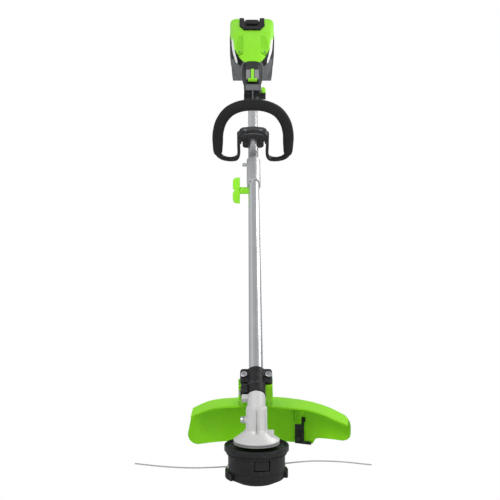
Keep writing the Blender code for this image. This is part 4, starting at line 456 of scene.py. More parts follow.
def turned(profile, steps=STEPS, closed=False, frame=None):
    """A profile of (radius, height) points turned about Z; closed makes a ring with a bore."""
    bm = bmesh.new()
    rows = []
    for radius, height in profile:
        if radius <= 0.0:
            rows.append([bm.verts.new((0.0, 0.0, height))])
            continue
        turns = [2.0 * math.pi * i / steps for i in range(steps)]
        rows.append([bm.verts.new((radius * math.cos(a), radius * math.sin(a), height)) for a in turns])
    bridge(bm, rows, closed)
    if frame is not None:
        bm.transform(frame)
    return bm


def rod(radius, low, high, steps=STEPS, frame=None):
    """A solid cylinder along Z."""
    return turned([(0.0, low), (radius, low), (radius, high), (0.0, high)], steps, frame=frame)


def pipe(outer, inner, low, high):
    """A hollow cylinder along Z."""
    return turned([(inner, low), (outer, low), (outer, high), (inner, high)], STEPS, True)


def lofted(rings, closed=False):
    """A solid through rings of equally many points, with flat ends unless it closes on itself."""
    bm = bmesh.new()
    rows = [[bm.verts.new(point) for point in ring] for ring in rings]
    bridge(bm, rows, closed)
    if not closed:
        bm.faces.new(rows[0])
        bm.faces.new(rows[-1])
    return bm


def slab_t(outline, low, high):
    """An outline of (x, n) points drawn out along the shaft."""
    return lofted([[shaft_point(x, n, t) for x, n in outline] for t in (low, high)])


def slab_n(outline, low, high):
    """An outline of (x, t) points drawn out away from the shaft."""
    return lofted([[shaft_point(x, n, t) for x, t in outline] for n in (low, high)])


def slab_x(outline, low, high):
    """An outline of (n, t) points drawn out sideways."""
    return lofted([[shaft_point(x, n, t) for n, t in outline] for x in (low, high)])


def block(x, n, t):
    """A box from three (low, high) pairs in the shaft's frame."""
    return slab_t([(x[0], n[0]), (x[1], n[0]), (x[1], n[1]), (x[0], n[1])], *t)


def mirrored(half):
    """An outline of (x, y) points made whole by its mirror image in the middle plane."""
    return [*half, *[(-x, y) for x, y in reversed(half)]]


def arc(centre, radius, first, last, count):
    """Points on an arc, angles in degrees."""
    turns = [math.radians(first + (last - first) * i / (count - 1)) for i in range(count)]
    return [(centre[0] + radius * math.cos(a), centre[1] + radius * math.sin(a)) for a in turns]


def round_box(low, high, radius, count=4):
    """The outline of a box with round corners, from its lowest and highest corner."""
    corners = ((high[0], high[1], 0), (low[0], high[1], 90), (low[0], low[1], 180), (high[0], low[1], 270))
    points = []
    for a, b, start in corners:
        inside = (a - math.copysign(radius, a - low[0] - radius),
                  b - math.copysign(radius, b - low[1] - radius))
        points += arc(inside, radius, start, start + 90, count)
    return points


def oval(half_width, top, bottom, power):
    """A squared oval of (x, n) points that reaches from bottom to top."""
    middle, half_height = (top + bottom) / 2.0, (top - bottom) / 2.0
    points = []
    for i in range(OVAL_POINTS):
        a = 2.0 * math.pi * (i + 0.5) / OVAL_POINTS
        c = math.copysign(abs(math.cos(a)) ** (2.0 / power), math.cos(a))
        s = math.copysign(abs(math.sin(a)) ** (2.0 / power), math.sin(a))
        points.append((half_width * c, middle + half_height * s))
    return points


def smooth(points, per_span):
    """Points on a smooth curve through the given ones."""
    ends = [points[0] * 2.0 - points[1], *points, points[-1] * 2.0 - points[-2]]
    line = []
    for a, b, c, d in zip(ends, ends[1:], ends[2:], ends[3:]):
        for i in range(per_span):
            u = i / per_span
            bend = 2.0 * a - 5.0 * b + 4.0 * c - d
            twist = 3.0 * b - a - 3.0 * c + d
            line.append((2.0 * b + (c - a) * u + bend * u * u + twist * u ** 3) / 2.0)
    return [*line, points[-1]]


def between(table, at):
    """The value at at of a table of (place, value) pairs, on a smooth curve through them."""
    spans = list(zip(table, table[1:]))
    i = next((k for k, (low, high) in enumerate(spans) if at <= high[0]), len(spans) - 1)
    (a, low), (b, high) = spans[i]
    slopes = [(v - u) / (q - p) for (p, u), (q, v) in spans]
    first = (slopes[max(i - 1, 0)] + slopes[i]) / 2.0
    last = (slopes[i] + slopes[min(i + 1, len(slopes) - 1)]) / 2.0
    u = (at - a) / (b - a)
    bend = low * (1.0 + 2.0 * u) * (1.0 - u) ** 2 + high * u * u * (3.0 - 2.0 * u)
    return bend + (b - a) * u * (1.0 - u) * (first * (1.0 - u) - last * u)


def sector(inner, outer, low, high, middle, half, steps=8):
    """A curved plate about Z from its radii, heights, middle angle and half angle in degrees."""
    rings = []
    for i in range(steps + 1):
        a = math.radians(middle - half + 2.0 * half * i / steps)
        c, s = math.cos(a), math.sin(a)
        rings.append([(r * c, r * s, z) for r, z in ((inner, low), (outer, low), (outer, high),
                                                     (inner, high))])
    return lofted(rings)


def solid(bm, frame_matrix=SHAFT):
    """A plain object from a closed bmesh written in that frame."""
    bmesh.ops.connect_verts_nonplanar(bm, angle_limit=0.0001, faces=bm.faces[:])
    bm.transform(frame_matrix)
    bmesh.ops.recalc_face_normals(bm, faces=bm.faces[:])
    mesh = bpy.data.meshes.new("solid")
    bm.to_mesh(mesh)
    bm.free()
    return linked("solid", mesh)


def gathered(parts):
    """One bmesh from several."""
    whole = bmesh.new()
    for part in parts:
        mesh = bpy.data.meshes.new("part")
        part.to_mesh(mesh)
        part.free()
        whole.from_mesh(mesh)
        bpy.data.meshes.remove(mesh)
    return whole


def shape_with(piece, operation, bm, frame_matrix=SHAFT):
    """One Boolean with the solid in bm, kept as mesh."""
    cutter = solid(bm, frame_matrix)
    step = piece.modifiers.new("step", "BOOLEAN")
    step.operation = operation
    step.solver = "EXACT"
    step.object = cutter
    weld = piece.modifiers.new("weld", "WELD")
    weld.merge_threshold = 0.000005
    depsgraph = bpy.context.evaluated_depsgraph_get()
    mesh = bpy.data.meshes.new_from_object(piece.evaluated_get(depsgraph))
    old = piece.data
    piece.modifiers.clear()
    piece.data = mesh
    bpy.data.meshes.remove(old)
    bpy.data.objects.remove(cutter)


def cut(piece, bm, frame_matrix=SHAFT):
    """Takes the solid in bm away."""
    shape_with(piece, "DIFFERENCE", bm, frame_matrix)


def join(piece, bm, frame_matrix=SHAFT):
    """Adds the solid in bm."""
    shape_with(piece, "UNION", bm, frame_matrix)


def dress(piece, name, look, body, edge=0.0, segments=2):
    """Names a finished piece, rounds its edges, gives it its material and puts it on its body."""
    sharp = math.radians(34.0)
    piece.name = name
    piece.data.materials.clear()
    piece.data.materials.append(LOOKS[look])
    for face in piece.data.polygons:
        face.material_index = 0
    piece.data.shade_smooth()
    piece.data.set_sharp_from_angle(angle=sharp)
    if edge:
        bevel = piece.modifiers.new("edge", "BEVEL")
        bevel.width = edge
        bevel.segments = segments
        bevel.limit_method = "ANGLE"
        bevel.angle_limit = sharp
        bevel.harden_normals = True
    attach(piece, body)


DRESSED_LATER = []


def place(node, bm, look, edge=0.0, frame_matrix=SHAFT, suffix="_form", segments=2):
    """A piece that replaces the solid of that node; it is dressed when all its cuts are made."""
    piece = solid(bm, frame_matrix)
    DRESSED_LATER.append((piece, node, node + suffix, look, edge, segments))
    return piece


def fitting(name, bm, look, body, edge=0.0, frame_matrix=SHAFT, segments=2):
    """A small piece that rides on a body and replaces no solid."""
    dress(solid(bm, frame_matrix), name, look, body, edge, segments)


def screw(radius, low, seat, head_radius, at, head_height=None):
    """A socket screw with a rounded head and a six-sided socket, its head's underside at seat."""
    top = seat + (head_height or head_radius * 0.75)
    holder = solid(turned([
        (0.0, low), (radius, low), (radius, seat), (head_radius - 0.0002, seat), (head_radius, seat + 0.0003),
        (head_radius, top - 0.001), (head_radius - 0.0003, top - 0.0003), (head_radius - 0.001, top),
        (0.0, top),
    ], 48), WORLD)
    cut(holder, rod(head_radius * 0.52, top - 0.002, top + 0.002, 6), WORLD)
    bm = bmesh.new()
    bm.from_mesh(holder.data)
    bpy.data.objects.remove(holder)
    bm.transform(at)
    return bm


def upwards(x, t, n=0.0):
    """A frame at that point of the shaft's frame whose Z axis runs away from the shaft."""
    return towards((0.0, -1.0, 0.0), shaft_point(x, n, t))


def sideways(n, t, way=1.0):
    """A frame in the middle plane whose Z axis runs to the right, or with way -1 to the left."""
    return towards((way, 0.0, 0.0), shaft_point(0.0, n, t))


def corner_off(piece, side, reach, tip, way, radius, depth, margin=0.002):
    """Rounds a plate's corner seen from above; the plate runs on from tip towards way."""
    centre = (side * (reach - radius), tip + way * radius)
    bow = [(centre[0] + side * radius * math.cos(a), centre[1] - way * radius * math.sin(a))
           for a in [math.radians(7.5 * i) for i in range(13)]]
    out = [(side * (reach - radius), tip - way * 0.002), (side * (reach + margin), tip - way * 0.002),
           (side * (reach + margin), tip + way * radius)]
    cut(piece, slab_n(bow + out, *depth))


# Cutting line
def cutting_line(name, route, side):
    """One free end of the cutting line, along the same points as its solid."""
    points = smooth([Vector((side * x, side * y, z)) for x, y, z in route], 4)
    points = [HEAD @ point for point in points]
    curve = bpy.data.curves.new(name + "_strand", "CURVE")
    curve.dimensions = "3D"
    spline = curve.splines.new("POLY")
    spline.points.add(len(points) - 1)
    for point, at in zip(spline.points, points):
        point.co = (*at, 1.0)
    curve.bevel_depth = LINE_RADIUS
    curve.bevel_resolution = 4
    curve.use_fill_caps = True
    curve.materials.append(LOOKS["line"])
    made = linked(name + "_strand", curve)
    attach(made, "spool_head")
    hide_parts(name)


# The free line's routes in the head's frame: distance from the axis, sideways, height.
LEFT_ROUTE = ((0.0512, 0.0, 0.028), (0.06, 0.0002, 0.0281), (0.08, 0.0009, 0.0284), (0.115, 0.002, 0.03),
              (0.16, 0.0018, 0.0346), (LINE_TIP_RADIUS, -0.001, 0.0415))
RIGHT_ROUTE = ((0.0512, 0.0, 0.028), (0.06, 0.0002, 0.0283), (0.078, 0.001, 0.0289), (0.11, 0.0024, 0.0284),
               (0.155, 0.0022, 0.0245), (LINE_TIP_RADIUS, -0.0012, 0.0172))
cutting_line("cutting_line_left", LEFT_ROUTE, -1.0)
cutting_line("cutting_line_right", RIGHT_ROUTE, 1.0)


# The guard: its roof's height by angle, the drop at its front edge, and that edge as (x, y) points
ROOF_HEIGHT = ((-40.0, 0.0835), (-37.5, 0.0885), (-33.0, 0.0945), (-25.0, 0.102), (-10.0, 0.1045),
               (8.0, 0.106), (28.0, 0.103), (36.0, 0.1), (43.0, 0.096), (50.0, 0.0905), (58.0, 0.085))
FRONT_DROP = 0.006
FRONT_EDGE = ((-0.131, 0.134), (-0.083, 0.143), (-0.035, 0.148), (0.01, 0.146), (0.05, 0.136),
              (0.092, 0.132), (0.13, 0.112), (0.168, 0.078))

# The handle's and the housing's sections: distance from the front, half width, top, bottom and the power of
# the squared oval; the trigger's outline from its pivot; the foot's sections: height, half width, setback
HANDLE_SECTIONS = (
    (0.0, 0.016, 0.016, -0.016, 2.0), (0.004, 0.0172, 0.0172, -0.0172, 2.0),
    (0.022, 0.018, 0.018, -0.019, 2.1), (0.043, 0.0205, 0.0205, -0.023, 2.6),
    (NOSE_LENGTH, 0.024, 0.0245, -0.0285, 4.5), (NOSE_LENGTH + 0.029, 0.0243, 0.0262, -0.0295, 4.8),
    (COLLAR_END - NOSE_T, 0.0245, 0.0275, -0.0305, 4.5),
    (COLLAR_END - NOSE_T + 0.02, 0.025, 0.0275, -0.0315, 3.6),
    (COLLAR_END - NOSE_T + 0.05, 0.0258, 0.0275, -0.0325, 3.2),
    (LEVER_PIVOT_T - NOSE_T, 0.028, 0.028, -0.039, 3.2),
    (HANDLE_END - NOSE_T - 0.0205, 0.0305, 0.029, -0.0465, 3.4),
    (HANDLE_END - NOSE_T, 0.03, 0.0295, -0.047, 3.4),
)
TRIGGER_PROFILE = (
    (-0.016, -0.006), (-0.025, -0.0065), (-0.04, -0.001), (-0.0455, 0.01), (-0.044, 0.025),
    (-0.048, 0.042), (-0.047, 0.049), (-0.033, 0.0515), (-0.0245, 0.05), (-0.021, 0.02), (-0.015, 0.008),
)
HOUSING_SECTIONS = (
    (0.0, 0.031, 0.028, -0.033, 3.0), (0.017, 0.043, 0.035, -0.045, 3.2),
    (0.042, 0.055, 0.043, -0.057, 3.6), (0.072, 0.063, 0.0505, -0.061, 4.2),
    (0.112, 0.0685, 0.057, -0.062, 4.8), (0.157, 0.07, 0.0615, -0.062, 6.4),
    (0.202, 0.07, 0.064, -0.0605, 8.5), (HOUSING_LENGTH - 0.004, 0.069, 0.0645, -0.059, 9.0),
    (HOUSING_LENGTH, 0.0665, 0.062, -0.056, 8.5),
)
FOOT_SECTIONS = ((-0.0622, 0.06, 0.05), (-0.04, 0.0625, 0.048), (-0.015, 0.065, 0.066), (0.01, 0.066, 0.096))

# The cover's recesses and screws. Then, from the housing's front, the cheeks' lower and upper edges as height
# and distance to the side, and the silver line's lower and upper edges as heights
COVER_SCREW_X = 0.0385
COVER_SCREW_T = HOUSING_START + 0.049
RECESS_INNER = 0.0272
RECESS_OUTER = 0.054
RECESS_START = HOUSING_START + 0.03
RECESS_END = HOUSING_START + 0.138
CHEEK_LOW = ((0.005, 0.009), (0.021, 0.01), (0.0278, 0.0098), (0.0382, 0.016), (0.046, 0.016),
             (0.055, 0.008), (0.067, 0.002), (0.092, -0.006), (0.132, -0.012), (0.165, -0.011), (0.19, 0.002))
CHEEK_TAIL = 0.15
CHEEK_EDGE = ((0.005, 0.0275), (0.022, 0.0375), (0.042, 0.047), (0.067, 0.055), (0.092, 0.061),
              (0.12, 0.066), (CHEEK_TAIL, 0.0692))
SILVER_LINE = ((0.0205, 0.0112, 0.0128), (0.0278, 0.01, 0.0212), (0.0382, 0.0161, 0.0266),
               (0.0583, 0.0247, 0.0354), (0.0793, 0.0332, 0.0419), (0.1001, 0.0405, 0.0466),
               (0.116, 0.0462, 0.0478))


def filled(rows, per_span=6):
    """The rows of a table with points between them on smooth curves."""
    columns = [[(row[0], row[k]) for row in rows] for k in range(1, len(rows[0]))]
    fine = []
    for low, high in zip(rows, rows[1:]):
        for i in range(per_span):
            at = low[0] + (high[0] - low[0]) * i / per_span
            fine.append((at, *[between(column, at) for column in columns]))
    return [*fine, rows[-1]]


def form(sections, start):
    """The smooth solid through a table of sections, with its front at start."""
    return lofted([[shaft_point(x, n, start + along) for x, n in oval(width, top, bottom, power)]
                   for along, width, top, bottom, power in filled(sections)])


SIDES = (("left", -1.0), ("right", 1.0))


def spool_head():
    """The cup with its rim, windows and ribs, the snap-in cap with its lobes, and the bump knob."""
    waist, split, top = HEAD_WAIST_RADIUS, HEAD_SPLIT_HEIGHT, HEAD_TOP_HEIGHT
    step, step_z, rim, rim_z = HEAD_STEP_RADIUS, HEAD_STEP_HEIGHT, HEAD_RIM_RADIUS, HEAD_RIM_HEIGHT
    inner = waist - HEAD_WALL
    ceiling = top - 0.007
    deck = ceiling + HEAD_WALL
    axle = SPINDLE_RADIUS + CLEAR
    housing = place("spool_housing", turned([
        (inner, split + CLEAR), (waist - 0.0003, split + CLEAR), (waist, split + CLEAR + 0.0004),
        (waist + 0.0004, step_z - 0.001), (step - 0.0006, step_z), (step, step_z + 0.0008),
        (step, rim_z - 0.0004), (rim - 0.0008, rim_z), (rim, rim_z + 0.0008), (rim, top - 0.0012),
        (rim - 0.0004, top - 0.0003), (rim - 0.0012, top), (rim - 0.0022, top), (rim - 0.0028, top - 0.0006),
        (rim - HEAD_WALL - 0.0006, deck + 0.0008), (rim - HEAD_WALL - 0.0014, deck), (0.046, deck),
        (0.0455, deck + 0.001), (0.044, deck + 0.001), (0.0435, deck), (axle, deck), (axle, ceiling - 0.004),
        (SPINDLE_RADIUS + 0.004, ceiling - 0.004), (SPINDLE_RADIUS + 0.004, ceiling), (inner, ceiling),
    ], HEAD_STEPS, True), "black", 0.0005, HEAD, "_shell")
    tab_half, slit, hook = (math.degrees(width / 2.0 / waist) for width in (TAB_WIDTH, TAB_SLIT, TAB_HOOK))
    low, high = TAB_LOW_HEIGHT, TAB_TOP_HEIGHT
    through = (inner - 0.004, waist + 0.0045)
    for middle in (-90.0, 90.0):
        cut(housing, sector(*through, low, low + TAB_SLIT, middle, tab_half, 20), HEAD)
        for side in (-1.0, 1.0):
            upright, hooked = middle + side * (tab_half - slit), middle + side * (tab_half - hook)
            cut(housing, sector(*through, low + 0.0001, high - 0.0001, upright, slit, 1), HEAD)
            cut(housing, sector(*through, high - HOOK_GAP, high, hooked, hook, 2), HEAD)
    for side in (-1.0, 1.0):
        hole = towards((side, 0.0, 0.0), (side * inner * 0.95, 0.0, EYELET_HEIGHT))
        cut(housing, rod(EYELET_RADIUS - 0.001 + CLEAR, 0.0, 0.012, 32, hole), HEAD)
    ribs = gathered(sector(step - 0.0006, step + 0.001, step_z + 0.0014, rim_z + 0.0002, 5.0 * k, 0.75, 1)
                    for k in range(72))
    fitting("spool_rim_ribs", ribs, "black", "spool_head", 0.0003, HEAD)

    hole, edge = KNOB_RADIUS + 0.0004, CAP_EDGE_HEIGHT
    wall = inner - CLEAR
    cap = place("spool_cap", turned([
        (hole, CAP_LIP_HEIGHT + 0.0003), (hole + 0.0004, CAP_LIP_HEIGHT), (hole + 0.003, CAP_LIP_HEIGHT),
        (hole + 0.0042, CAP_LIP_HEIGHT + 0.0002), (waist - 0.0016, edge - 0.0016),
        (waist - 0.0004, edge - 0.0004), (waist, edge + 0.0008), (waist, split - 0.0004),
        (waist - 0.0003, split), (wall, split), (wall, split + 0.003), (wall - 0.0016, split + 0.003),
        (wall - 0.0016, edge + HEAD_WALL - 0.0008), (hole + 0.003, CAP_LIP_HEIGHT + HEAD_WALL),
        (hole, CAP_LIP_HEIGHT + HEAD_WALL),
    ], HEAD_STEPS, True), "black", 0.0005, HEAD, "_shell")
    for middle in (0.0, 180.0):
        join(cap, sector(waist - 0.0015, LOBE_RADIUS, edge - 0.0003, split - 0.0006, middle, LOBE_HALF_ANGLE,
                         30), HEAD)
        for offset in (-16.0, -8.0, 0.0, 8.0, 16.0):
            cut(cap, sector(LOBE_RADIUS - 0.0012, LOBE_RADIUS + 0.002, edge + 0.0012, split - 0.0022,
                            middle + offset, 2.6, 3), HEAD)
    for middle in (-90.0, 90.0):
        join(cap, sector(wall - 0.0032, wall - 0.0015, edge + 0.004, SPOOL_TOP_HEIGHT - 0.005, middle,
                         tab_half - 3.0, 16), HEAD)

    groove = KNOB_FACE_RADIUS * 0.55
    place("bump_knob", turned([
        (0.0, 0.0), (groove, 0.0), (groove + 0.0005, 0.0006), (groove + 0.0014, 0.0006),
        (groove + 0.0019, 0.0), (KNOB_FACE_RADIUS - 0.001, 0.0), (KNOB_FACE_RADIUS + 0.0006, 0.0004),
        (KNOB_RADIUS - 0.001, 0.0018), (KNOB_RADIUS - 0.0002, 0.0028), (KNOB_RADIUS, 0.004),
        (KNOB_RADIUS, KNOB_HEIGHT), (SPOOL_HUB_RADIUS, KNOB_HEIGHT),
        (SPOOL_HUB_RADIUS, SPOOL_BOTTOM_HEIGHT - CLEAR), (0.0, SPOOL_BOTTOM_HEIGHT - CLEAR),
    ], HEAD_STEPS), "black", 0.0, HEAD)
    bore, eye = LINE_RADIUS + CLEAR, EYELET_RADIUS
    for word, side in SIDES:
        place("eyelet_" + word, turned([
            (bore, -0.003), (eye - 0.001, -0.003), (eye - 0.001, 0.0004), (eye, 0.0004), (eye, 0.001),
            (eye - 0.0006, 0.0016), (eye - 0.0012, 0.0018), (bore + 0.0008, 0.0018), (bore + 0.0002, 0.0014),
            (bore, 0.0008),
        ], 40, True, towards((side, 0.0, 0.0), (side * waist, 0.0, EYELET_HEIGHT))), "steel", 0.0, HEAD,
        "_ring")


def gearbox():
    """The cast housing with its ribs, lug, plug and split neck under the clamp band."""
    cone, foot_z, body, low, high = CONE_RADIUS, CONE_HEIGHT, BODY_RADIUS, BODY_LOW_HEIGHT, BODY_TOP_HEIGHT
    housing = place("gear_housing", turned([
        (0.0, foot_z), (cone - 0.0015, foot_z), (cone - 0.0003, foot_z + 0.0004), (cone, foot_z + 0.0012),
        (cone, foot_z + 0.0026), (cone - 0.0006, foot_z + 0.0034), (cone - 0.006, foot_z + 0.0066),
        (cone - 0.012, foot_z + 0.0115), (body + 0.0052, low - 0.0052), (body + 0.0026, low - 0.003),
        (body + 0.0008, low - 0.0002), (body, low + 0.003), (body - 0.0004, high - 0.0042),
        (body - 0.0008, high - 0.0018), (body - 0.0024, high - 0.0002), (body - 0.004, high), (0.0, high),
    ], 96), "cast", 0.0005, WORLD, "_casting", 3)
    neck, shoulder = NECK_RADIUS, NECK_SHOULDER
    neck_tip = neck - BAND_WALL + CLEAR
    join(housing, turned([
        (0.0, -0.004), (neck - 0.001, -0.004), (neck, 0.006), (neck, shoulder - 0.0006),
        (neck - 0.0006, shoulder), (neck_tip, shoulder + 0.0005), (neck_tip, NECK_END), (0.0, NECK_END),
    ], 74))
    for side in (-1.0, 1.0):
        join(housing, slab_t([(side * 0.0062, 0.0), (side * 0.0082, 0.0), (side * 0.0082, -neck - 0.0006),
                              (side * 0.0062, -neck - 0.0002)], 0.01, shoulder - 0.001))
    for turn in (-60, 60):
        middle, half = -body + 0.0008, (high - low - 0.004) / 2.0
        centre = (high + low) / 2.0 - 0.003
        rib = lofted([[(x, middle + y, z) for x, y in ((-0.0013, -0.0015), (0.0013, -0.0015),
                                                       (0.0013, 0.0015),
                                                       (-0.0013, 0.0015))] for z in (centre - half,
                                                       centre + half)])
        rib.transform(Matrix.Rotation(math.radians(turn), 4, "Z"))
        join(housing, rib, WORLD)
    for x in (-0.0017, 0.0017):
        front = [(x - 0.0006, -body - 0.001), (x + 0.0006, -body - 0.001), (x + 0.0007, -body + 0.003),
                 (x - 0.0007, -body + 0.003)]
        join(housing, lofted([[(a, b - lean, z) for a, b in front]
                              for z, lean in ((low - 0.006, 0.0032), (high - 0.003, 0.0))]), WORLD)
    lug_low, lug_high = foot_z + 0.004, foot_z + 0.019
    join(housing, lofted([[(0.015, y, lug_low), (0.03, y, lug_low), (0.03, y, lug_high - 0.0015),
                           (0.0285, y, lug_high), (0.016, y, lug_high)] for y in (-0.011, 0.001)]), WORLD)
    plug = towards((-1.0, 0.0, 0.0), (-body + 0.002, -0.001, APEX_HEIGHT - 0.0135))
    join(housing, rod(0.0062, 0.0, 0.004, 44, plug), WORLD)
    cut(housing, rod(TUBE_RADIUS + CLEAR, LOWER_TUBE_START, NECK_END + 0.01, 70))
    cut(housing, block((-neck - 0.001, -0.01), (-0.0012, 0.0012), (shoulder + 0.002, NECK_END + 0.01)))
    cut(housing, rod(0.003, -0.002, 0.006, 40, plug), WORLD)

    ring = DUST_RING_HEIGHT
    place("dust_ring", turned([
        (0.0345, ring), (cone - 0.0008, ring), (cone, ring + 0.0006), (cone, ring + 0.0012),
        (cone - 0.0008, ring + 0.0018), (cone - 0.0004, foot_z - CLEAR),
        (SPINDLE_RADIUS + 0.0015, foot_z - CLEAR), (SPINDLE_RADIUS + 0.0015, ring + 0.002),
        (0.0345, ring + 0.002),
    ], HEAD_STEPS, True), "light_grey", 0.0, WORLD)
    place("grease_plug", turned([
        (0.0, 0.0005), (0.003 - CLEAR, 0.0005), (0.003 - CLEAR, 0.004 + CLEAR), (0.0064, 0.004 + CLEAR),
        (0.0066, 0.0046), (0.0066, 0.0054), (0.0063, 0.0058), (0.0054, 0.0058), (0.0053, 0.006),
        (0.0056, 0.0062), (0.0056, 0.0098), (0.0052, 0.0108), (0.0044, 0.0112), (0.0026, 0.0112),
        (0.0024, 0.01), (0.0, 0.0096),
    ], 48, frame=plug), "steel", 0.0, WORLD, "_head")

    low, high = shoulder + 0.001, NECK_END + 0.0005
    inner = neck_tip + CLEAR
    outer = inner + BAND_WALL
    band = place("clamp_band", turned([
        (inner, low), (outer - 0.0005, low), (outer, low + 0.0005), (outer, high - 0.0005),
        (outer - 0.0005, high), (inner, high),
    ], STEPS, True), "black", 0.0005)
    join(band, slab_t(round_box((-0.0275, EAR_LOW), (-inner - 0.0006, EAR_HIGH), 0.003, 10), low + 0.001,
                      high - 0.001))
    cut(band, block((-0.03, -inner + 0.002), (-0.0012, 0.0012), (low - 0.01, high + 0.01)))
    cut(band, rod(inner, low - 0.01, high + 0.01, 74))
    at = towards((0.0, 1.0, 0.0), shaft_point(-0.0225, EAR_LOW, (low + high) / 2.0))
    place("pinch_bolt", screw(SCREW_RADIUS, EAR_LOW - EAR_HIGH, CLEAR, 0.0046, at, 0.0046), "steel", 0.0002)
    lip = [(outer - 0.001, low - 0.0003), (outer + 0.0006, low - 0.0003), (outer + 0.0008, low),
           (outer + 0.0008, low + 0.0009), (outer + 0.0002, low + 0.0013), (outer - 0.001, low + 0.0013)]
    fitting("band_lip", turned(lip, STEPS, True), "deep_black", BODY_OF["clamp_band"])
    # A thin grey ring at the black band's upper end: painted highlight on its edge.
    rim = [(outer - 0.001, high - 0.0006), (outer + 0.0002, high - 0.0006), (outer + 0.0004, high - 0.0003),
           (outer + 0.0002, high), (outer - 0.001, high)]
    fitting("band_edge_painted_highlight", turned(rim, STEPS, True), "grey", BODY_OF["clamp_band"])
    lug = round_box((-0.0262, -0.005), (-0.012, 0.006), 0.003, 8)
    fitting("neck_lug", slab_t(lug, 0.024, 0.0335), "cast", BODY_OF["gear_housing"], 0.0012,
            segments=3)
    at = Matrix.Translation((-0.0276, 0.0, 0.0415)) @ Matrix.Rotation(math.radians(-90.0), 4, "Y")
    fitting("lug_screw_head", turned([
        (0.0, 0.0), (0.004, 0.0), (0.0042, 0.0003), (0.0042, 0.003), (0.0036, 0.0038), (0.0022, 0.004),
        (0.002, 0.0026), (0.0, 0.0026),
    ], 44, frame=at), "steel", BODY_OF["gear_housing"], 0.0002)


def guard_outline():
    """The guard's outline seen along Y, as (x, z): round lower corners and the step at the right."""
    left = arc((-0.108, 0.04), 0.024, 175.0, 262.0, 30)
    right = arc((0.161, 0.053), 0.0185, -82.0, 5.0, 30)
    step = [(0.108, 0.0155), (0.1135, 0.0175), (0.1185, 0.0275), (0.124, 0.03)]
    corner = arc((0.1545, 0.066), 0.025, 0.0, 70.0, 24)
    return [(-0.1225, 0.09), *left, *step, *right, *corner, (0.159, 0.096), (0.159, 0.13), (-0.119, 0.13)]


def guard_shell():
    """The roof and skirt, from sections that turn about the spool's axis."""
    rows = []
    count = 120
    edge = smooth([Vector((x, y, 0.0)) for x, y in FRONT_EDGE], 6)
    for i in range(count + 1):
        share = i / count
        degrees = -GUARD_LEFT + (GUARD_LEFT + GUARD_RIGHT) * share
        a = math.radians(degrees)
        out = Vector((math.sin(a), math.cos(a), 0.0))
        place_on_edge = share * (len(edge) - 1)
        k = min(int(place_on_edge), len(edge) - 2)
        front = edge[k].lerp(edge[k + 1], place_on_edge - k)
        top = between(ROOF_HEIGHT, degrees)
        corner = out * (GUARD_RADIUS - GUARD_CORNER)
        inwards = (front - corner).normalized()
        inner = GUARD_CORNER - GUARD_WALL
        middle = top - GUARD_CORNER
        points = [(front, top - FRONT_DROP), (corner, top)]
        points += [(corner + out * c, middle + s) for c, s in arc((0.0, 0.0), GUARD_CORNER, 84.0, 0.0, 15)]
        points += [(out * GUARD_RADIUS, 0.01), (out * (GUARD_RADIUS - GUARD_WALL), 0.01)]
        points += [(corner + out * c, middle + s) for c, s in arc((0.0, 0.0), inner, 0.0, 84.0, 15)]
        points += [(corner, top - GUARD_WALL), (front - inwards * 0.0005, top - FRONT_DROP - GUARD_WALL)]
        rows.append([Vector((p.x, p.y, z)) for p, z in points])
    return lofted(rows)


def tongue(inset, low_extra):
    """The wedge that rises from the roof to the clamp; inset gives the hollow under it."""
    left, right = TONGUE_LEFT + inset, TONGUE_RIGHT - inset
    top_n = -0.001 - inset if inset else -0.0005
    front_t, rear_t = TONGUE_START + inset, CLAMP_START + CLAMP_LENGTH - 0.001
    tail = GUARD_RADIUS - 0.021
    outline = [world_of(0.0, top_n, front_t), world_of(0.0, top_n, rear_t)]
    outline += [Vector((0.0, tail, 0.103 - inset)), Vector((0.0, tail, 0.099 - low_extra))]
    outline += [Vector((0.0, 0.14, 0.099 - low_extra)), world_of(0.0, -0.04 - low_extra, front_t)]
    return lofted([[Vector((x, p.y, p.z)) for p in outline] for x in (left, right)])


def blade_slab(width, inner, outer, low, high, shift=0.0):
    """A block square to the radius where the line cutter stands, between two radii and two heights."""
    half = width / 2.0
    left, right = shift - half, shift + half
    corners = ((left, inner), (right, inner), (right, outer), (left, outer))
    bm = lofted([[(x, y, z) for x, y in corners] for z in (low, high)])
    bm.transform(Matrix.Rotation(math.radians(-BLADE_ANGLE), 4, "Z"))
    return bm


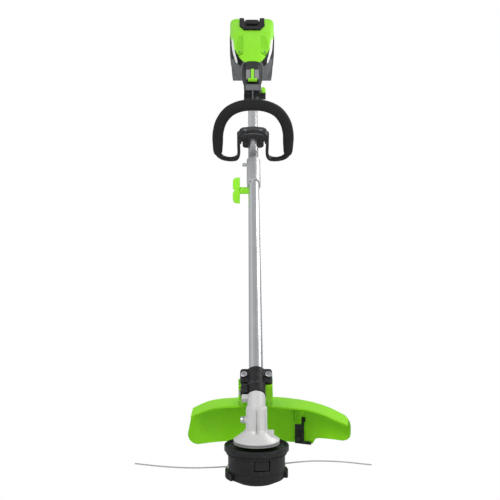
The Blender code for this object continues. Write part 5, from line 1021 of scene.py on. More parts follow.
def guard():
    """The moulded guard, its clamp, its bolts and the line cutter."""
    shell = place("guard", guard_shell(), "guard_green", 0.0008, WORLD)
    shape_with(shell, "INTERSECT", lofted([[(x, y, z) for x, z in guard_outline()] for y in (0.05, 0.25)]),
               WORLD)
    join(shell, tongue(0.0, 0.0), WORLD)
    cut(shell, tongue(0.0095, 0.02), WORLD)
    tube_seat = TUBE_RADIUS + CLEAR
    low, high = CLAMP_START, CLAMP_START + CLAMP_LENGTH
    join(shell, rod(tube_seat + GUARD_WALL, TONGUE_START + 0.0004, high))
    bolts = [upwards(side * GUARD_BOLT_SPACING / 2.0, low + CLAMP_LENGTH * 0.55) for word, side in SIDES]
    for bolt in bolts:
        join(shell, rod(0.0055, -0.014, 0.002, 40, bolt))
    cut(shell, block((-0.05, 0.05), (-0.001, 0.03), (TONGUE_START - 0.01, high + 0.03)))
    cut(shell, rod(tube_seat, TONGUE_START - 0.02, high + 0.06))
    for bolt in bolts:
        cut(shell, rod(GUARD_BOLT_RADIUS + CLEAR, -0.02, 0.002, 40, bolt))
    blade_outer = BLADE_EDGE_RADIUS + BLADE_THICKNESS
    join(shell, blade_slab(BLADE_WIDTH + 0.003, blade_outer + CLEAR, GUARD_RADIUS - GUARD_WALL / 2.0,
                           BLADE_SEAT, BOSS_TOP), WORLD)

    outer, reach, thick = tube_seat + CLAMP_WALL, EAR_REACH, EAR_THICKNESS
    half = [(reach, CLEAR - 0.001), (reach, thick - 0.002), (reach - 0.002, thick), (outer - 0.001, thick)]
    clamp = place("guard_clamp", slab_t([*half, *arc((0.0, 0.0), outer, 38.0, 142.0, 60),
                                         *[(-x, n) for x, n in reversed(half)]], low, high), "black", 0.0012)
    cut(clamp, rod(tube_seat, low - 0.01, high + 0.01))
    for (word, side), bolt in zip(SIDES, bolts):
        cut(clamp, rod(GUARD_BOLT_RADIUS + CLEAR, -0.02, 0.02, FINE_STEPS, bolt))
        place("guard_bolt_" + word, screw(GUARD_BOLT_RADIUS, -0.013, thick + CLEAR, GUARD_BOLT_HEAD, bolt),
              "steel")
    for side, edge in ((-1.0, (0.0325, 0.0303, 0.028, 0.0225)), (1.0, (0.031, 0.0285, 0.0275, 0.0225))):
        cut(clamp, block(tuple(sorted((side * (outer + 0.0004), side * 0.04))), (-0.01, 0.02),
                         (low - 0.01, low + 0.004)))
        for tip, way in ((low + 0.004, 1.0), (high, -1.0)):
            corner_off(clamp, side, reach, tip, way, 0.0055, (-0.01, 0.02))
        flank = [*zip(edge, (0.048, 0.0565, 0.081, high + 0.0005)), (edge[3], 0.1), (0.05, 0.1),
                 (0.05, 0.048)]
        cut(shell, slab_n([(side * x, t) for x, t in flank], -0.05, 0.004))
    for shift in (-0.0128, -0.008, -0.0036):
        join(shell, blade_slab(0.0012, blade_outer + CLEAR - 0.0016, blade_outer + 0.004, 0.056, 0.09, shift),
             WORLD)

    edge = (BLADE_EDGE_RADIUS, blade_outer)
    blade = place("line_cutter", blade_slab(BLADE_WIDTH, *edge, BLADE_LOW, BLADE_HIGH), "black", 0.0004,
                  WORLD)
    toe_shift = (BLADE_WIDTH + BLADE_TOE) / 2.0 - 0.001
    join(blade, blade_slab(BLADE_TOE, *edge, BLADE_LOW, BLADE_LOW + 0.006, toe_shift), WORLD)
    edge = BLADE_EDGE_RADIUS
    clip = solid(blade_slab(0.0064, edge, edge + 0.006, 0.0585, 0.068, 0.0078), WORLD)
    join(clip, blade_slab(0.0046, edge + 0.0004, edge + 0.0019, 0.0525, 0.06, 0.0069), WORLD)
    dress(clip, "cutter_clip", "deep_black", BODY_OF["line_cutter"], 0.0003)


def tubes():
    """The lower and the upper tube."""
    inner = TUBE_RADIUS - TUBE_WALL
    lower = place("lower_tube", pipe(TUBE_RADIUS, inner, LOWER_TUBE_START, LOWER_TUBE_END), "tube")
    notch = PIN_RADIUS + RUNNING
    cut(lower, block((-TUBE_RADIUS - 0.002, -inner + 0.003), (-notch, notch),
                     (PIN_T - notch, LOWER_TUBE_END + 0.01)))
    place("upper_tube", pipe(TUBE_RADIUS, inner, UPPER_TUBE_START, UPPER_TUBE_END), "tube")


def coupler():
    """The aluminium sleeve that joins the tubes, its wing knob and its release pin."""
    ear, depth, radius = COUPLER_EAR_HALF, COUPLER_DEPTH, COUPLER_RADIUS
    start, end = COUPLER_START, COUPLER_END
    sleeve = place("coupler_sleeve", slab_t([
        (-ear, -depth + 0.003), (-ear + 0.003, -depth), (ear - 0.003, -depth), (ear, -depth + 0.003),
        (ear + 0.001, -0.019), *arc((0.0, 0.0), radius, -38.0, 218.0, 90), (-ear - 0.001, -0.019),
    ], start, end), "coupler", 0.0009)
    for far, upper, lower in ((start - 0.02, start + COUPLER_SLANT, start - 0.004),
                              (end + 0.02, end - 1.7 * COUPLER_SLANT, end + 0.003)):
        slant = [(-depth - 0.01, far), (radius + 0.01, far), (radius + 0.01, upper), (-depth - 0.01, lower)]
        cut(sleeve, slab_x(slant, -0.03, 0.03))
    cut(sleeve, rod(TUBE_RADIUS + CLEAR, start - 0.03, end + 0.03))
    half_slot = COUPLER_SLOT / 2.0
    cut(sleeve, block((-half_slot, half_slot), (-depth - 0.01, -TUBE_RADIUS + 0.002),
                      (start - 0.03, COUPLER_SLOT_END)))
    axis = sideways(KNOB_N, KNOB_T, -1.0)
    pin = sideways(0.0, PIN_T, -1.0)
    for bore, low, high, at in ((STUD_RADIUS + RUNNING, -0.02, 0.02, axis),
                                (KNOB_HUB_RADIUS + 3.0 * CLEAR, ear, 0.03, axis),
                                (NUT_RADIUS + 3.0 * CLEAR, -0.03, -ear, axis),
                                (PIN_RADIUS + RUNNING, 0.008, 0.03, pin)):
        cut(sleeve, rod(bore, low, high, FINE_STEPS, at))

    corner = [(1.0, WING_INNER), (1.0, WING_INNER + 0.007), (0.93, WING_OUTER - 0.003), (0.72, WING_OUTER),
              (0.16, WING_OUTER)]
    wing = [(WING_REACH * share, out) for share, out in corner]
    wing = mirrored([*wing, (0.0, WING_OUTER - 0.0052)])
    lean = math.radians(90.0 - SHAFT_ANGLE)
    along = Vector((0.0, -math.sin(lean), math.cos(lean)))
    across = Vector((0.0, math.cos(lean), math.sin(lean)))
    centre = shaft_point(0.0, KNOB_N, KNOB_T)
    knob = place("coupler_knob", lofted([[centre + along * a + Vector((-b, 0.0,
                                                                       0.0)) + across * c for a, b in wing]
                                         for c in (-WING_HALF, WING_HALF)]), "green", 0.0014)
    join(knob, rod(KNOB_HUB_RADIUS, ear + CLEAR, WING_INNER + 0.004, FINE_STEPS, axis))
    join(knob, rod(STUD_RADIUS, -0.0135, ear + 0.0025, FINE_STEPS, axis))
    nut = place("knob_nut", rod(NUT_RADIUS, -ear - 0.0045, -ear - CLEAR, 6, axis), "steel", 0.0004)
    cut(nut, rod(STUD_RADIUS + RUNNING, -0.02, 0.0, FINE_STEPS, axis))
    inside, out = TUBE_RADIUS - TUBE_WALL - 0.001, radius + 0.0006
    place("release_pin", turned([
        (0.0, inside), (PIN_RADIUS, inside), (PIN_RADIUS, out), (PIN_HEAD_RADIUS, out),
        (PIN_HEAD_RADIUS, 0.027), (PIN_HEAD_RADIUS - 0.0008, 0.0278), (0.0, 0.0278),
    ], FINE_STEPS, frame=pin), "steel")


def loop_route():
    """The loop handle's centre line in (x, n), from the right leg's top round to the left leg's top."""
    low = -LOOP_BOTTOM
    right = [(LEG_X, 0.004), (LEG_X, -0.03), (LEG_X, -0.06), (LEG_X + 0.0055, low + 0.0042),
             (LEG_X + 0.017, low), (0.07, low + 0.0005), (0.085, -0.07), (0.094, -0.056),
             (LOOP_SIDE, -0.028), (LOOP_SIDE - 0.0015, 0.006), (LOOP_SIDE - 0.0105, 0.04),
             (0.064, 0.069), (0.035, 0.085)]
    left = [(-x, n) for x, n in reversed(right)]
    return smooth([Vector((x, n)) for x, n in [*right, (0.0, LOOP_TOP), *left]], 12)


def swept(route, sizes):
    """A tube along a route of (x, n) points at LOOP_T; sizes gives each point's half width and half depth."""
    rings = []
    for i, at in enumerate(route):
        ahead = (route[min(i + 1, len(route) - 1)] - route[max(i - 1, 0)]).normalized()
        side = Vector((-ahead.y, ahead.x))
        half_width, half_depth = sizes[i]
        ring = []
        for k in range(LOOP_SIDES):
            a = 2.0 * math.pi * (k + 0.5) / LOOP_SIDES
            point = at + side * half_width * math.cos(a)
            ring.append(shaft_point(point.x, point.y, LOOP_T + half_depth * math.sin(a)))
        rings.append(ring)
    return rings


def loop_handle():
    """The loop frame with its saddle, the soft grip over it and the lower clamp half."""
    route = loop_route()
    covered = [i for i, p in enumerate(route) if abs(p.x) > 0.06 and p.y > -0.058 or p.y > 0.05]
    first, last = covered[0], covered[-1]
    thin_end = CORE_RADIUS + 0.0016
    core, outer = [], []
    for i, p in enumerate(route):
        rise = max(0.0, min(1.0, (p.y + 0.0765) / 0.02)) if abs(p.x) > 0.06 else 0.0
        half = BAR_RADIUS + (CORE_RADIUS - BAR_RADIUS) * rise
        leg = max(0.0, min(1.0, (0.062 - abs(p.x)) / 0.02)) if p.y < 0.03 else 0.0
        depth = half + 0.002 + (LEG_HALF_DEPTH - half - 0.002) * leg
        core.append((half + (0.0042 - half) * leg, depth if p.y < 0.03 and not first <= i <= last else half))
        away = max(0.0, min(1.0, min(i - first, last - i) / 18.0))
        outer.append(thin_end + (GRIP_RADIUS - thin_end) * away ** 0.5)
    frame = place("loop_frame", lofted(swept(route, core)), "black", 0.0012)
    span = slice(first, last + 1)
    skin = swept(route[span], [(size, size) for size in outer[span]])
    bore = swept(route[span], [(wide + CLEAR, deep + CLEAR) for wide, deep in core[span]])
    place("loop_grip", lofted([*skin, *reversed(bore)], closed=True), "soft_black")

    half, top, seam = SADDLE_WIDTH / 2.0, SADDLE_TOP, 0.0008
    saddle_t = LOOP_T - SADDLE_SETBACK
    low_t, high_t = saddle_t - SADDLE_LENGTH / 2.0, saddle_t + SADDLE_LENGTH / 2.0
    tube = rod(TUBE_RADIUS + CLEAR, low_t - 0.02, high_t + 0.02)
    crown = [(half, -0.006), (half, top - 0.012), *arc((half - 0.01, top - 0.012), 0.01, 10.0, 80.0, 16)]
    inner = [(half - 0.0085, seam), (half - 0.0085, -0.006)]
    join(frame, slab_t(mirrored([*inner, *crown, (0.0, top + 0.0015)]), low_t, high_t))
    cut(frame, tube.copy())
    cut(frame, slab_x([(0.008, low_t - 0.01), (0.008, low_t - 0.001), (0.017, low_t + 0.005),
                       (0.04, low_t + 0.012), (0.04, low_t - 0.01)], -half - 0.01, half + 0.01))
    wide = LOWER_CLAMP_WIDTH / 2.0
    below = [(wide, seam - 2.0 * CLEAR), (wide, -0.01), *arc((wide - 0.008, -0.01), 0.008, -10.0, -80.0, 16),
             (0.012, -0.019)]
    clamp = place("loop_clamp", slab_t(mirrored(below), low_t, high_t), "black", 0.001)
    cut(clamp, tube)
    seat, screw_t = top - 0.0045, saddle_t + SCREW_OFFSET_T
    bore = SCREW_RADIUS + CLEAR
    for word, side in SIDES:
        at = upwards(side * SCREW_SPACING_X / 2.0, screw_t)
        cut(frame, turned([
            (0.0, -0.01), (bore, -0.01), (bore, seat), (0.0045 + CLEAR, seat), (0.0045 + CLEAR, seat + 0.02),
            (0.0, seat + 0.02),
        ], FINE_STEPS, frame=at))
        cut(clamp, rod(bore, -0.03, 0.01, FINE_STEPS, at))
        place("loop_screw_" + word, screw(SCREW_RADIUS, -0.017, seat + CLEAR, 0.0045, at), "steel")
    for word, side in SIDES:
        corner_off(frame, side, half, high_t, -1.0, 0.01, (0.0105, 0.035), 0.004)
        shoulder = [(half - 0.0125, top + 0.004), (half - 0.0125, top - 0.0014),
                    (half - 0.0045, top - 0.0055), (half + 0.0005, top - 0.0125),
                    (half + 0.004, top - 0.0125), (half + 0.004, top + 0.004)]
        cut(frame, slab_t([(side * x, n) for x, n in shoulder], low_t - 0.002, high_t + 0.002))
    gap_t = low_t + 0.0095
    cut(frame, block((-half + 0.009, half - 0.009), (top - 0.0028, top + 0.004), (gap_t, gap_t + 0.001)))

    # The top plate is lighter than the black frame: partly a satin finish, partly painted light on the lit
    # top face.
    ridge = [((half - 0.0105) * (i / 20.0 - 1.0)) for i in range(41)]
    ridge = [(x, top + 0.0017 - 0.0036 * abs(x) / (half - 0.0083)) for x in ridge]
    plate = solid(slab_t([*[(x, n - 0.0012) for x, n in ridge], *reversed(ridge)], gap_t + 0.0085,
                         high_t - 0.0004))
    for word, side in SIDES:
        cut(plate, rod(0.0049, 0.0, 0.04, 40, upwards(side * SCREW_SPACING_X / 2.0, screw_t)))
    dress(plate, "saddle_top", "satin_black_painted_light", BODY_OF["loop_frame"], 0.0003)
    # A thin grey ridge along the black saddle's front edge: painted highlight on the lip.
    rings = []
    for i in range(49):
        away = i / 24.0 - 1.0
        n = 0.0212 - 0.0042 * away ** 2
        t = low_t + 0.005 + (n - 0.017) * 7.0 / 23.0
        size = 0.0009 * max(0.15, 1.0 - away ** 4)
        rings.append([shaft_point(0.0285 * away, n + c, t + s) for c, s in arc((0.0, 0.0), size, 0.0, 315.0,
                                                                               8)])
    fitting("saddle_lip_painted_highlight", lofted(rings), "grey", BODY_OF["loop_frame"])


def rear_handle():
    """Two handle shells on the upper tube, with the lever, trigger and dial between them."""
    lever_slot, base_slot, trigger_slot = (width / 2.0 + 2.0 * CLEAR
                                           for width in (LEVER_WIDTH, LEVER_BASE_WIDTH, TRIGGER_WIDTH))
    start, lever_t, trigger_t = LEVER_START, LEVER_PIVOT_T, TRIGGER_PIVOT_T
    dial = sideways(0.0, DIAL_T)
    for word, side in SIDES:
        shell = place("handle_shell_" + word, form(HANDLE_SECTIONS, NOSE_T), "deep_black", 0.0006)
        own_half = tuple(sorted((side * CLEAR / 2.0, side * 0.1)))
        shape_with(shell, "INTERSECT", block(own_half, (-0.1, 0.1), (NOSE_T - 0.01, HANDLE_END + 0.01)))
        cut(shell, rod(TUBE_RADIUS + CLEAR, NOSE_T - 0.01, UPPER_TUBE_END + CLEAR))
        cut(shell, rod(DRIVE_RADIUS + 0.0045, UPPER_TUBE_END - 0.01, HANDLE_END + 0.01))
        for half, n, t in ((0.0205, (0.0255, 0.05), (COLLAR_T + 0.004, COLLAR_END - 0.001)),
                           (lever_slot, (0.01, 0.05), (start - 0.002, lever_t + 0.01)),
                           (base_slot, (0.016, 0.05), (start - 0.0015, start + 0.0115)),
                           (0.019, (0.0255, 0.05), (start + 0.0125, lever_t + 0.036)),
                           (trigger_slot, (-0.06, -0.01), (trigger_t - 0.008, trigger_t + 0.0562))):
            cut(shell, block((-half, half), n, t))
        cut(shell, rod(0.0052, 0.02, 0.04, FINE_STEPS, dial))
        if side < 0.0:
            for n, t, reach in ((LEVER_PIVOT_N, lever_t, lever_slot),
                                (TRIGGER_PIVOT_N, trigger_t, trigger_slot)):
                join(shell, rod(PIVOT_RADIUS, -reach - 0.002, reach - CLEAR, FINE_STEPS, sideways(n, t)))

    panel = round_box((-0.02, COLLAR_T + 0.0045), (0.02, COLLAR_END - 0.017), 0.003, 10)
    place("collar_panel", slab_n(panel, 0.0255 + CLEAR, 0.0279), "grey", 0.0004)
    # A thin grey rib along the black collar's seam: a raised seam, coloured grey as a painted highlight.
    seam = [(0.0178, NOSE_T + 0.006), (0.0185, NOSE_T + 0.022), (0.021, NOSE_T + 0.043),
            (0.025, COLLAR_T - 0.0006), (0.0262, COLLAR_T + 0.004), (0.023, COLLAR_T + 0.004),
            (0.018, NOSE_T + 0.043), (0.015, NOSE_T + 0.022), (0.015, NOSE_T + 0.006)]
    fitting("collar_seam_painted_highlight", slab_x(seam, -0.0017, 0.0017), "grey", "power_head", 0.0002)
    inlay = place("lever_inlay", slab_n(arch(0.0185, start + 0.013, 0.009, 5), 0.0255 + CLEAR, 0.0305),
                  "light_grey", 0.0006)
    cut(inlay, block((-lever_slot, lever_slot), (0.02, 0.04), (start, lever_t + 0.01)))
    bed = arch(0.0183, lever_t - 0.012, 0.0088, 12)
    fitting("lever_bed", slab_n(bed, 0.0294, 0.0309), "black", "power_head", 0.0003)

    half = LEVER_WIDTH / 2.0
    foot_end = [(0.0215, start), (0.033, start + 0.001), (0.0355, start + 0.005), (0.035, start + 0.011)]
    lever = place("lockoff_lever", slab_x([
        *foot_end, (0.034, lever_t - 0.032), (0.0325, lever_t - 0.002), (0.029, lever_t + 0.0065),
        (0.0145, lever_t + 0.006), (0.013, lever_t), (0.0145, lever_t - 0.008), (0.0235, lever_t - 0.022),
        (0.0235, start + 0.011),
    ], -half, half), "green", 0.0008)
    join(lever, slab_x([*foot_end, (0.0215, start + 0.01)], -LEVER_BASE_WIDTH / 2.0, LEVER_BASE_WIDTH / 2.0))
    cut(lever, rod(PIVOT_RADIUS + RUNNING, -0.02, 0.02, FINE_STEPS, sideways(LEVER_PIVOT_N, lever_t)))
    cut(lever, block((-0.02, 0.02), (0.0288, 0.05), (lever_t - 0.0125, lever_t + 0.02)))
    for word, side in SIDES:
        beside = tuple(sorted((side * 0.0041, side * 0.03)))
        cut(lever, block(beside, (0.0275, 0.05), (start + 0.006, lever_t + 0.02)))
        cut(lever, block(beside, (0.0338, 0.05), (start - 0.01, start + 0.02)))

    half = TRIGGER_WIDTH / 2.0
    profile = [(n, trigger_t + along) for n, along in TRIGGER_PROFILE]
    trigger = place("trigger", slab_x(profile, -half, half), "black", 0.0014)
    cut(trigger, rod(PIVOT_RADIUS + RUNNING, -0.02, 0.02, FINE_STEPS, sideways(TRIGGER_PIVOT_N, trigger_t)))

    radius, inner, outer = DIAL_RADIUS, DIAL_INNER, DIAL_OUTER
    place("speed_dial", turned([
        (0.0, 0.0205), (0.0052 - RUNNING, 0.0205), (0.0052 - RUNNING, inner - 0.0012),
        (radius - 0.001, inner - 0.0012), (radius, inner), (radius, outer - 0.005),
        (radius - 0.002, outer - 0.0014), (radius - 0.006, outer), (0.0, outer),
    ], STEPS, frame=dial), "green", 0.0005)
    start, stop = inner - 0.001, outer - 0.0002
    low, high = radius + 0.0006, radius + 0.0026
    section = ((start, low), (start, high), (stop - 0.0012, high), (stop, low + 0.0012), (stop, low))
    turns = [math.radians(150.0 + 150.0 * i / 40) for i in range(41)]
    shroud = lofted([[shaft_point(x, r * math.sin(a),
                                  DIAL_T + r * math.cos(a)) for x, r in section] for a in turns])
    fitting("dial_shroud", shroud, "black", "power_head", 0.0003)
    section = ((radius - 0.001, -0.0005), (radius + 0.0003, -0.0003), (radius + 0.0003, 0.0003),
               (radius - 0.001, 0.0005))
    ways = [(math.sin(a), math.cos(a)) for a in [2.0 * math.pi * k / 30 for k in range(30)]]
    ribs = gathered(lofted([[shaft_point(x, r * n - w * t, DIAL_T + r * t + w * n) for r, w in section]
                            for x in (inner + 0.001, outer - 0.0056)]) for n, t in ways)
    fitting("dial_ribs", ribs, "green", BODY_OF["speed_dial"], 0.0001)


def arch(half, low, radius, count):
    """The outline round the lever: square below, with round corners above, as (x, t)."""
    top = LEVER_PIVOT_T + 0.026
    return [(-half, low), (half, low), *arc((0.0095, top), radius, 0.0, 90.0, count),
            *arc((-0.0095, top), radius, 90.0, 180.0, count)]


def foot():
    """The square-cornered foot under the power head."""
    rear = HOUSING_END - 0.008
    return lofted([[shaft_point(x, n, t) for x, t in ((-half, HOUSING_START + setback),
                                                      (half, HOUSING_START + setback), (half, rear),
                                                      (-half, rear))]
                   for n, half, setback in FOOT_SECTIONS])


def hollowed(piece):
    """Cuts the motor's room and the battery bay out of a piece of the housing."""
    cut(piece, rod(MOTOR_RADIUS + 2.0 * CLEAR, MOTOR_START - CLEAR, MOTOR_END + 0.012))
    cut(piece, block((-BAY_HALF_WIDTH, BAY_HALF_WIDTH), (BAY_BOTTOM, BAY_TOP),
                     (BAY_START, HOUSING_END + 0.02)))


def power_head():
    """The motor housing in two shells under a green cover, with the latch bezel and the battery."""
    whole = (HOUSING_START - 0.01, HOUSING_END + 0.01)
    contact = block((-TERMINAL_HALF - CLEAR, TERMINAL_HALF + CLEAR),
                    (TERMINAL_LOW - CLEAR, TERMINAL_HIGH + CLEAR),
                    (BAY_START - 0.0105, BAY_START + TERMINAL_REACH))
    for word, side in SIDES:
        shell = place("motor_shell_" + word, form(HOUSING_SECTIONS, HOUSING_START), "grey", 0.001)
        join(shell, foot())
        own_half = tuple(sorted((side * CLEAR / 2.0, side * 0.1)))
        shape_with(shell, "INTERSECT", block(own_half, (-0.1, SPLIT_N - CLEAR), whole))
        hollowed(shell)
        cut(shell, rod(DRIVE_RADIUS + 0.0045, HOUSING_START - 0.01, MOTOR_START + 0.01))
        cut(shell, block((-BOARD_HALF, BOARD_HALF), (BOARD_FLOOR, BOARD_FLOOR + 0.012),
                         (BOARD_START, BAY_START)))
        cut(shell, contact.copy())
        for k in range(5):
            t = BAY_START + 0.015 * (k + 1)
            slot = [(-0.05, t), (0.004, t + 0.02), (0.004, t + 0.025), (-0.05, t + 0.005)]
            cut(shell, slab_x(slot, *sorted((side * 0.0665, side * 0.1))))
    contact.free()

    cover = place("top_cover", form(HOUSING_SECTIONS, HOUSING_START), "green", 0.001)
    shape_with(cover, "INTERSECT", block((-0.1, 0.1), (SPLIT_N, 0.1), whole))
    hollowed(cover)
    cover_recesses(cover)
    front, rear, start = BEZEL_FRONT_HALF, BEZEL_REAR_HALF, BEZEL_START
    room = [(-front, start), (front, start), (rear, start + 0.027), (rear, HOUSING_END + 0.01),
            (-rear, HOUSING_END + 0.01), (-rear, start + 0.027)]
    cut(cover, slab_n(room, BAY_TOP - 0.0021, 0.09))
    for side in (-1.0, 1.0):
        cut(cover, rod(0.0028, 0.0, 0.06, 32, upwards(side * COVER_SCREW_X, COVER_SCREW_T, 0.03)))

    end = HOUSING_END - 0.001
    half = [(front - CLEAR, start + CLEAR), (rear - CLEAR, start + 0.0275), (rear - CLEAR, end),
            (0.0275, end), (0.0265, start + 0.037), (0.02, start + 0.023)]
    place("latch_bezel", slab_n(mirrored(half), BAY_TOP + CLEAR, 0.0665),
          "deep_black", 0.0012)
    for word, side in SIDES:
        post = [(side * 0.0246, start + 0.0385), (side * 0.028, start + 0.036), (side * 0.03, start + 0.04),
                (side * 0.03, HOUSING_END - 0.0016), (side * 0.0246, HOUSING_END - 0.0016)]
        fitting("bezel_post_" + word, slab_n(post, BAY_TOP + 0.001, 0.0655), "deep_black", "power_head",
                0.0008)

    gap = BATTERY_GAP
    half = BAY_HALF_WIDTH - gap
    case = round_box((-half, BAY_BOTTOM + gap), (half, BAY_TOP - gap), 0.008)
    battery = place("battery_pack", slab_t(case, BAY_START + 0.001, HOUSING_END + 0.002), "black", 0.0012)
    tail = round_box((-half - 0.01, BAY_BOTTOM - 0.006), (half + 0.01, BAY_TOP - 0.003), 0.012)
    ends = ((0.97, HOUSING_END + 0.0008), (1.0, HOUSING_END + 0.005), (1.0, BATTERY_END - 0.006),
            (0.94, BATTERY_END))
    join(battery, lofted([[shaft_point(x * s, n * s, t) for x, n in tail] for s, t in ends]))
    cut(battery, block((-TERMINAL_HALF - gap, TERMINAL_HALF + gap), (TERMINAL_LOW - gap, TERMINAL_HIGH + gap),
                       (BAY_START - 0.01, BAY_START + TERMINAL_REACH + gap)))
    neck = [(-0.018, start + 0.041), (0.018, start + 0.041), (0.0215, HOUSING_END + 0.006),
            (-0.0215, HOUSING_END + 0.006)]
    join(battery, slab_n(neck, BAY_TOP - 0.004, 0.057))
    low, high = start + 0.045, start + 0.078
    room = round_box((-LATCH_HALF - CLEAR, low), (LATCH_HALF + CLEAR, high), 0.003)
    cut(battery, slab_n(room, 0.05, 0.07))
    latch = round_box((-LATCH_HALF + CLEAR, low + 2.0 * CLEAR), (LATCH_HALF - CLEAR, high - 2.0 * CLEAR),
                      0.003)
    place("battery_latch", slab_n(latch, 0.054, 0.064), "deep_black", 0.0016)


def housing_section(t):
    """The housing's half width, top, bottom and power at distance t along the shaft."""
    return [between([(row[0], row[k]) for row in HOUSING_SECTIONS], t - HOUSING_START) for k in (1, 2, 3, 4)]


def height_at(t, x):
    """Height of the housing's upper surface at distance t along the shaft and x to the side."""
    width, top, bottom, power = housing_section(t)
    return (top + bottom) / 2.0 + (top - bottom) / 2.0 * (1.0 - min(1.0, x / width) ** power) ** (1.0 / power)


def skin_angle(t, x=None, n=None):
    """Where the housing's section at t reaches x, or height n, as the angle of its squared oval."""
    width, top, bottom, power = housing_section(t)
    if x is not None:
        return math.acos(min(1.0, (x / width) ** (power / 2.0)))
    share = (n - (top + bottom) / 2.0) / ((top - bottom) / 2.0)
    return math.copysign(math.asin(min(1.0, abs(share) ** (power / 2.0))), share)


def skin_point(side, t, angle, lift):
    """A point on the housing's surface, or lift over it."""
    width, top, bottom, power = housing_section(t)
    c = abs(math.cos(angle)) ** (2.0 / power)
    s = math.copysign(abs(math.sin(angle)) ** (2.0 / power), angle)
    return shaft_point(side * (width + lift) * c, (top + bottom) / 2.0 + ((top - bottom) / 2.0 + lift) * s, t)


def skin_plate(side, rows, lift, count=14):
    """A thin plate on the housing's skin; rows give its lowest and highest angle at each t."""
    rings = []
    for t, low, high in rows:
        turns = [low + (high - low) * i / count for i in range(count + 1)]
        rings.append([*[skin_point(side, t, a, lift) for a in turns],
                      *[skin_point(side, t, a, -0.0012) for a in reversed(turns)]])
    return lofted(rings)


def cover_recesses(cover):
    """The shallow recess on each side of the cover's raised middle, with a darker plate on its floor as
    painted shade, and its screw.
    """
    inner, outer = RECESS_INNER, RECESS_OUTER
    start, stop = RECESS_START, RECESS_END
    rims, plates = [], []
    for i in range(25):
        for rings, u in ((rims, i / 24.0), (plates, 0.1 + 0.74 * i / 24.0)):
            t = start + (stop - start) * u
            depth = 0.0034 * math.sin(math.pi * u) ** 0.7
            low = height_at(t, inner) - depth - (0.00001 if rings is rims else 0.0)
            edge = height_at(t, outer) + 0.0004
            if rings is rims:
                rings.append([(inner, low, t), (outer, edge, t), (outer, edge + 0.03, t),
                              (inner, low + 0.03, t)])
                continue
            share = 0.45 + 0.37 * math.sin(math.pi * min(1.0, u * 1.15))
            wide, high = inner + (outer - inner) * share, low + (edge - low) * share
            rings.append([(inner + 0.0002, low + 0.0004, t), (wide, high + 0.0004, t),
                          (wide, high - 0.0006, t), (inner + 0.0002, low - 0.0006, t)])
    for word, side in SIDES:
        rim, plate = (lofted([[shaft_point(side * x, n, t) for x, n, t in ring] for ring in rings])
                      for rings in (rims, plates))
        cut(cover, rim)
        # A darker green sheet on the recess floor: painted shade in the recess.
        shade = solid(plate)
        cut(shade, rod(0.003, 0.0, 0.06, 32, upwards(side * COVER_SCREW_X, COVER_SCREW_T, 0.03)))
        dress(shade, "cover_recess_painted_shade_" + word, "green_painted_shade", "power_head")
        at = upwards(side * COVER_SCREW_X, COVER_SCREW_T, height_at(COVER_SCREW_T, COVER_SCREW_X) - 0.0062)
        fitting("cover_screw_" + word, screw(0.0012, -0.004, 0.0, 0.0025, at, 0.0024), "steel", "power_head")


def head_trim():
    """Black cheeks with a silver line on the housing's shoulders."""
    for word, side in SIDES:
        rows = []
        for i in range(61):
            along = 0.005 + 0.185 * i / 60.0
            t = HOUSING_START + along
            low = skin_angle(t, n=between(CHEEK_LOW, along))
            if along < CHEEK_TAIL:
                high = skin_angle(t, x=between(CHEEK_EDGE, along))
            else:
                last = skin_angle(HOUSING_START + CHEEK_TAIL, x=CHEEK_EDGE[-1][1])
                high = last + (skin_angle(t, n=0.018) - last) * (along - CHEEK_TAIL) / 0.04
            rows.append((t, low, max(high, low + 0.01)))
        fitting("cheek_" + word, skin_plate(side, rows, 0.0006), "deep_black", "power_head", 0.0003)
        line = []
        for along, low, high in filled(SILVER_LINE, 8):
            t = HOUSING_START + along
            line.append((t, skin_angle(t, n=low), skin_angle(t, n=high)))
        fitting("silver_line_" + word, skin_plate(side, line, 0.001, 4), "silver", "power_head",
                0.0002)


for build in (spool_head, gearbox, guard, tubes, coupler, loop_handle, rear_handle, power_head, head_trim):
    build()
for piece, node, name, look, edge, segments in DRESSED_LATER:
    dress(piece, name, look, BODY_OF[node], edge, segments)
    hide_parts(node)
for node, made in NODES.items():
    slot = SLOT_OF[node]
    made.data.materials.clear()
    made.data.materials.append(LOOKS["line" if slot == "wound" else slot])


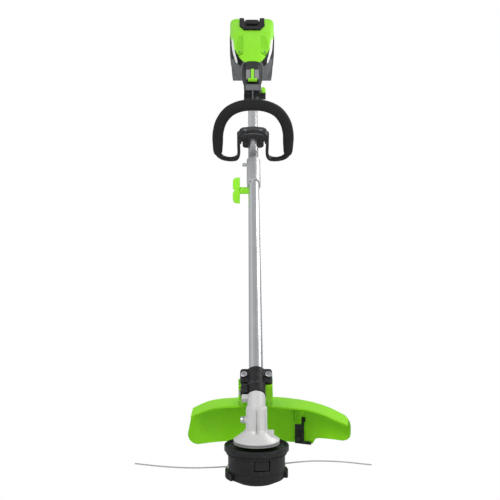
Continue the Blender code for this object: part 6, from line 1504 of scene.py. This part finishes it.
def floor_paint():
    """A pale matt floor that the camera sees as white."""
    mat = bpy.data.materials.new("floor_paint")
    mat.use_nodes = True
    tree = mat.node_tree
    shader = tree.nodes["Principled BSDF"]
    grain = spread(tree, scaled_noise(tree, 40.0, 3.0), 0.0, 1.0)
    tree.links.new(mixed(tree, grain, (0.8, 0.8, 0.8), (0.84, 0.84, 0.84)), shader.inputs["Base Color"])
    shader.inputs["Roughness"].default_value = 0.8
    paper = add(tree, "Emission", {"Color": (1.0, 1.0, 1.0, 1.0), "Strength": 1.0})
    seen_or_lit(tree, paper.outputs["Emission"], shader.outputs["BSDF"], "Material Output")
    return mat


def room():
    """A white room whose light has two brighter parts, on the left and behind above."""
    world = bpy.data.worlds.new("room")
    world.use_nodes = True
    bpy.context.scene.world = world
    tree = world.node_tree
    seen = tree.nodes["Background"]
    seen.inputs["Color"].default_value = (1.0, 1.0, 1.0, 1.0)
    seen.inputs["Strength"].default_value = 1.0
    way = add(tree, "SeparateXYZ", {"Vector": add(tree, "TexCoord").outputs["Generated"]}).outputs
    strength = 0.52
    for first, second, share in ((("X", -0.35, -0.6), ("Z", 0.15, 0.4), 0.2),
                                 (("Y", 0.02, 0.35), ("Z", 0.45, 0.75), 0.16)):
        spans = [spread(tree, way[axis], 0.0, 1.0, low, high, "SMOOTHSTEP") for axis, low, high in (first,
                                                                                                    second)]
        strength = sum_of(tree, "MULTIPLY_ADD", sum_of(tree, "MULTIPLY", *spans), share, strength)
    light = add(tree, "Background", {"Color": (0.95, 0.97, 1.0, 1.0), "Strength": strength})
    seen_or_lit(tree, seen.outputs["Background"], light.outputs["Background"], "World Output")


def studio():
    """The floor, the room and three soft lamps."""
    size = 6.0
    mesh = bpy.data.meshes.new("floor")
    mesh.from_pydata([(-size, -size, 0.0), (size, -size, 0.0), (size, size, 0.0), (-size, size, 0.0)], [],
                     [(0, 1, 2, 3)])
    mesh.materials.append(floor_paint())
    floor = linked("floor", mesh)
    room()
    for name, at, size, power in (("key", (-0.9, -1.3, 1.7), 1.0, 20.0), ("fill", (1.3, -0.9, 0.9), 1.2, 9.0),
                                  ("right", (1.6, 1.5, 2.0), 1.1, 20.0)):
        data = bpy.data.lights.new(name, "AREA")
        data.shape = "DISK"
        data.size = size
        data.energy = power
        lamp = linked(name, data)
        lamp.location = at
        lamp.rotation_euler = (Vector((0.0, 0.35, 0.4)) - Vector(at)).to_track_quat("-Z", "Y").to_euler()
    bpy.context.scene.view_settings.view_transform = "Standard"


studio()
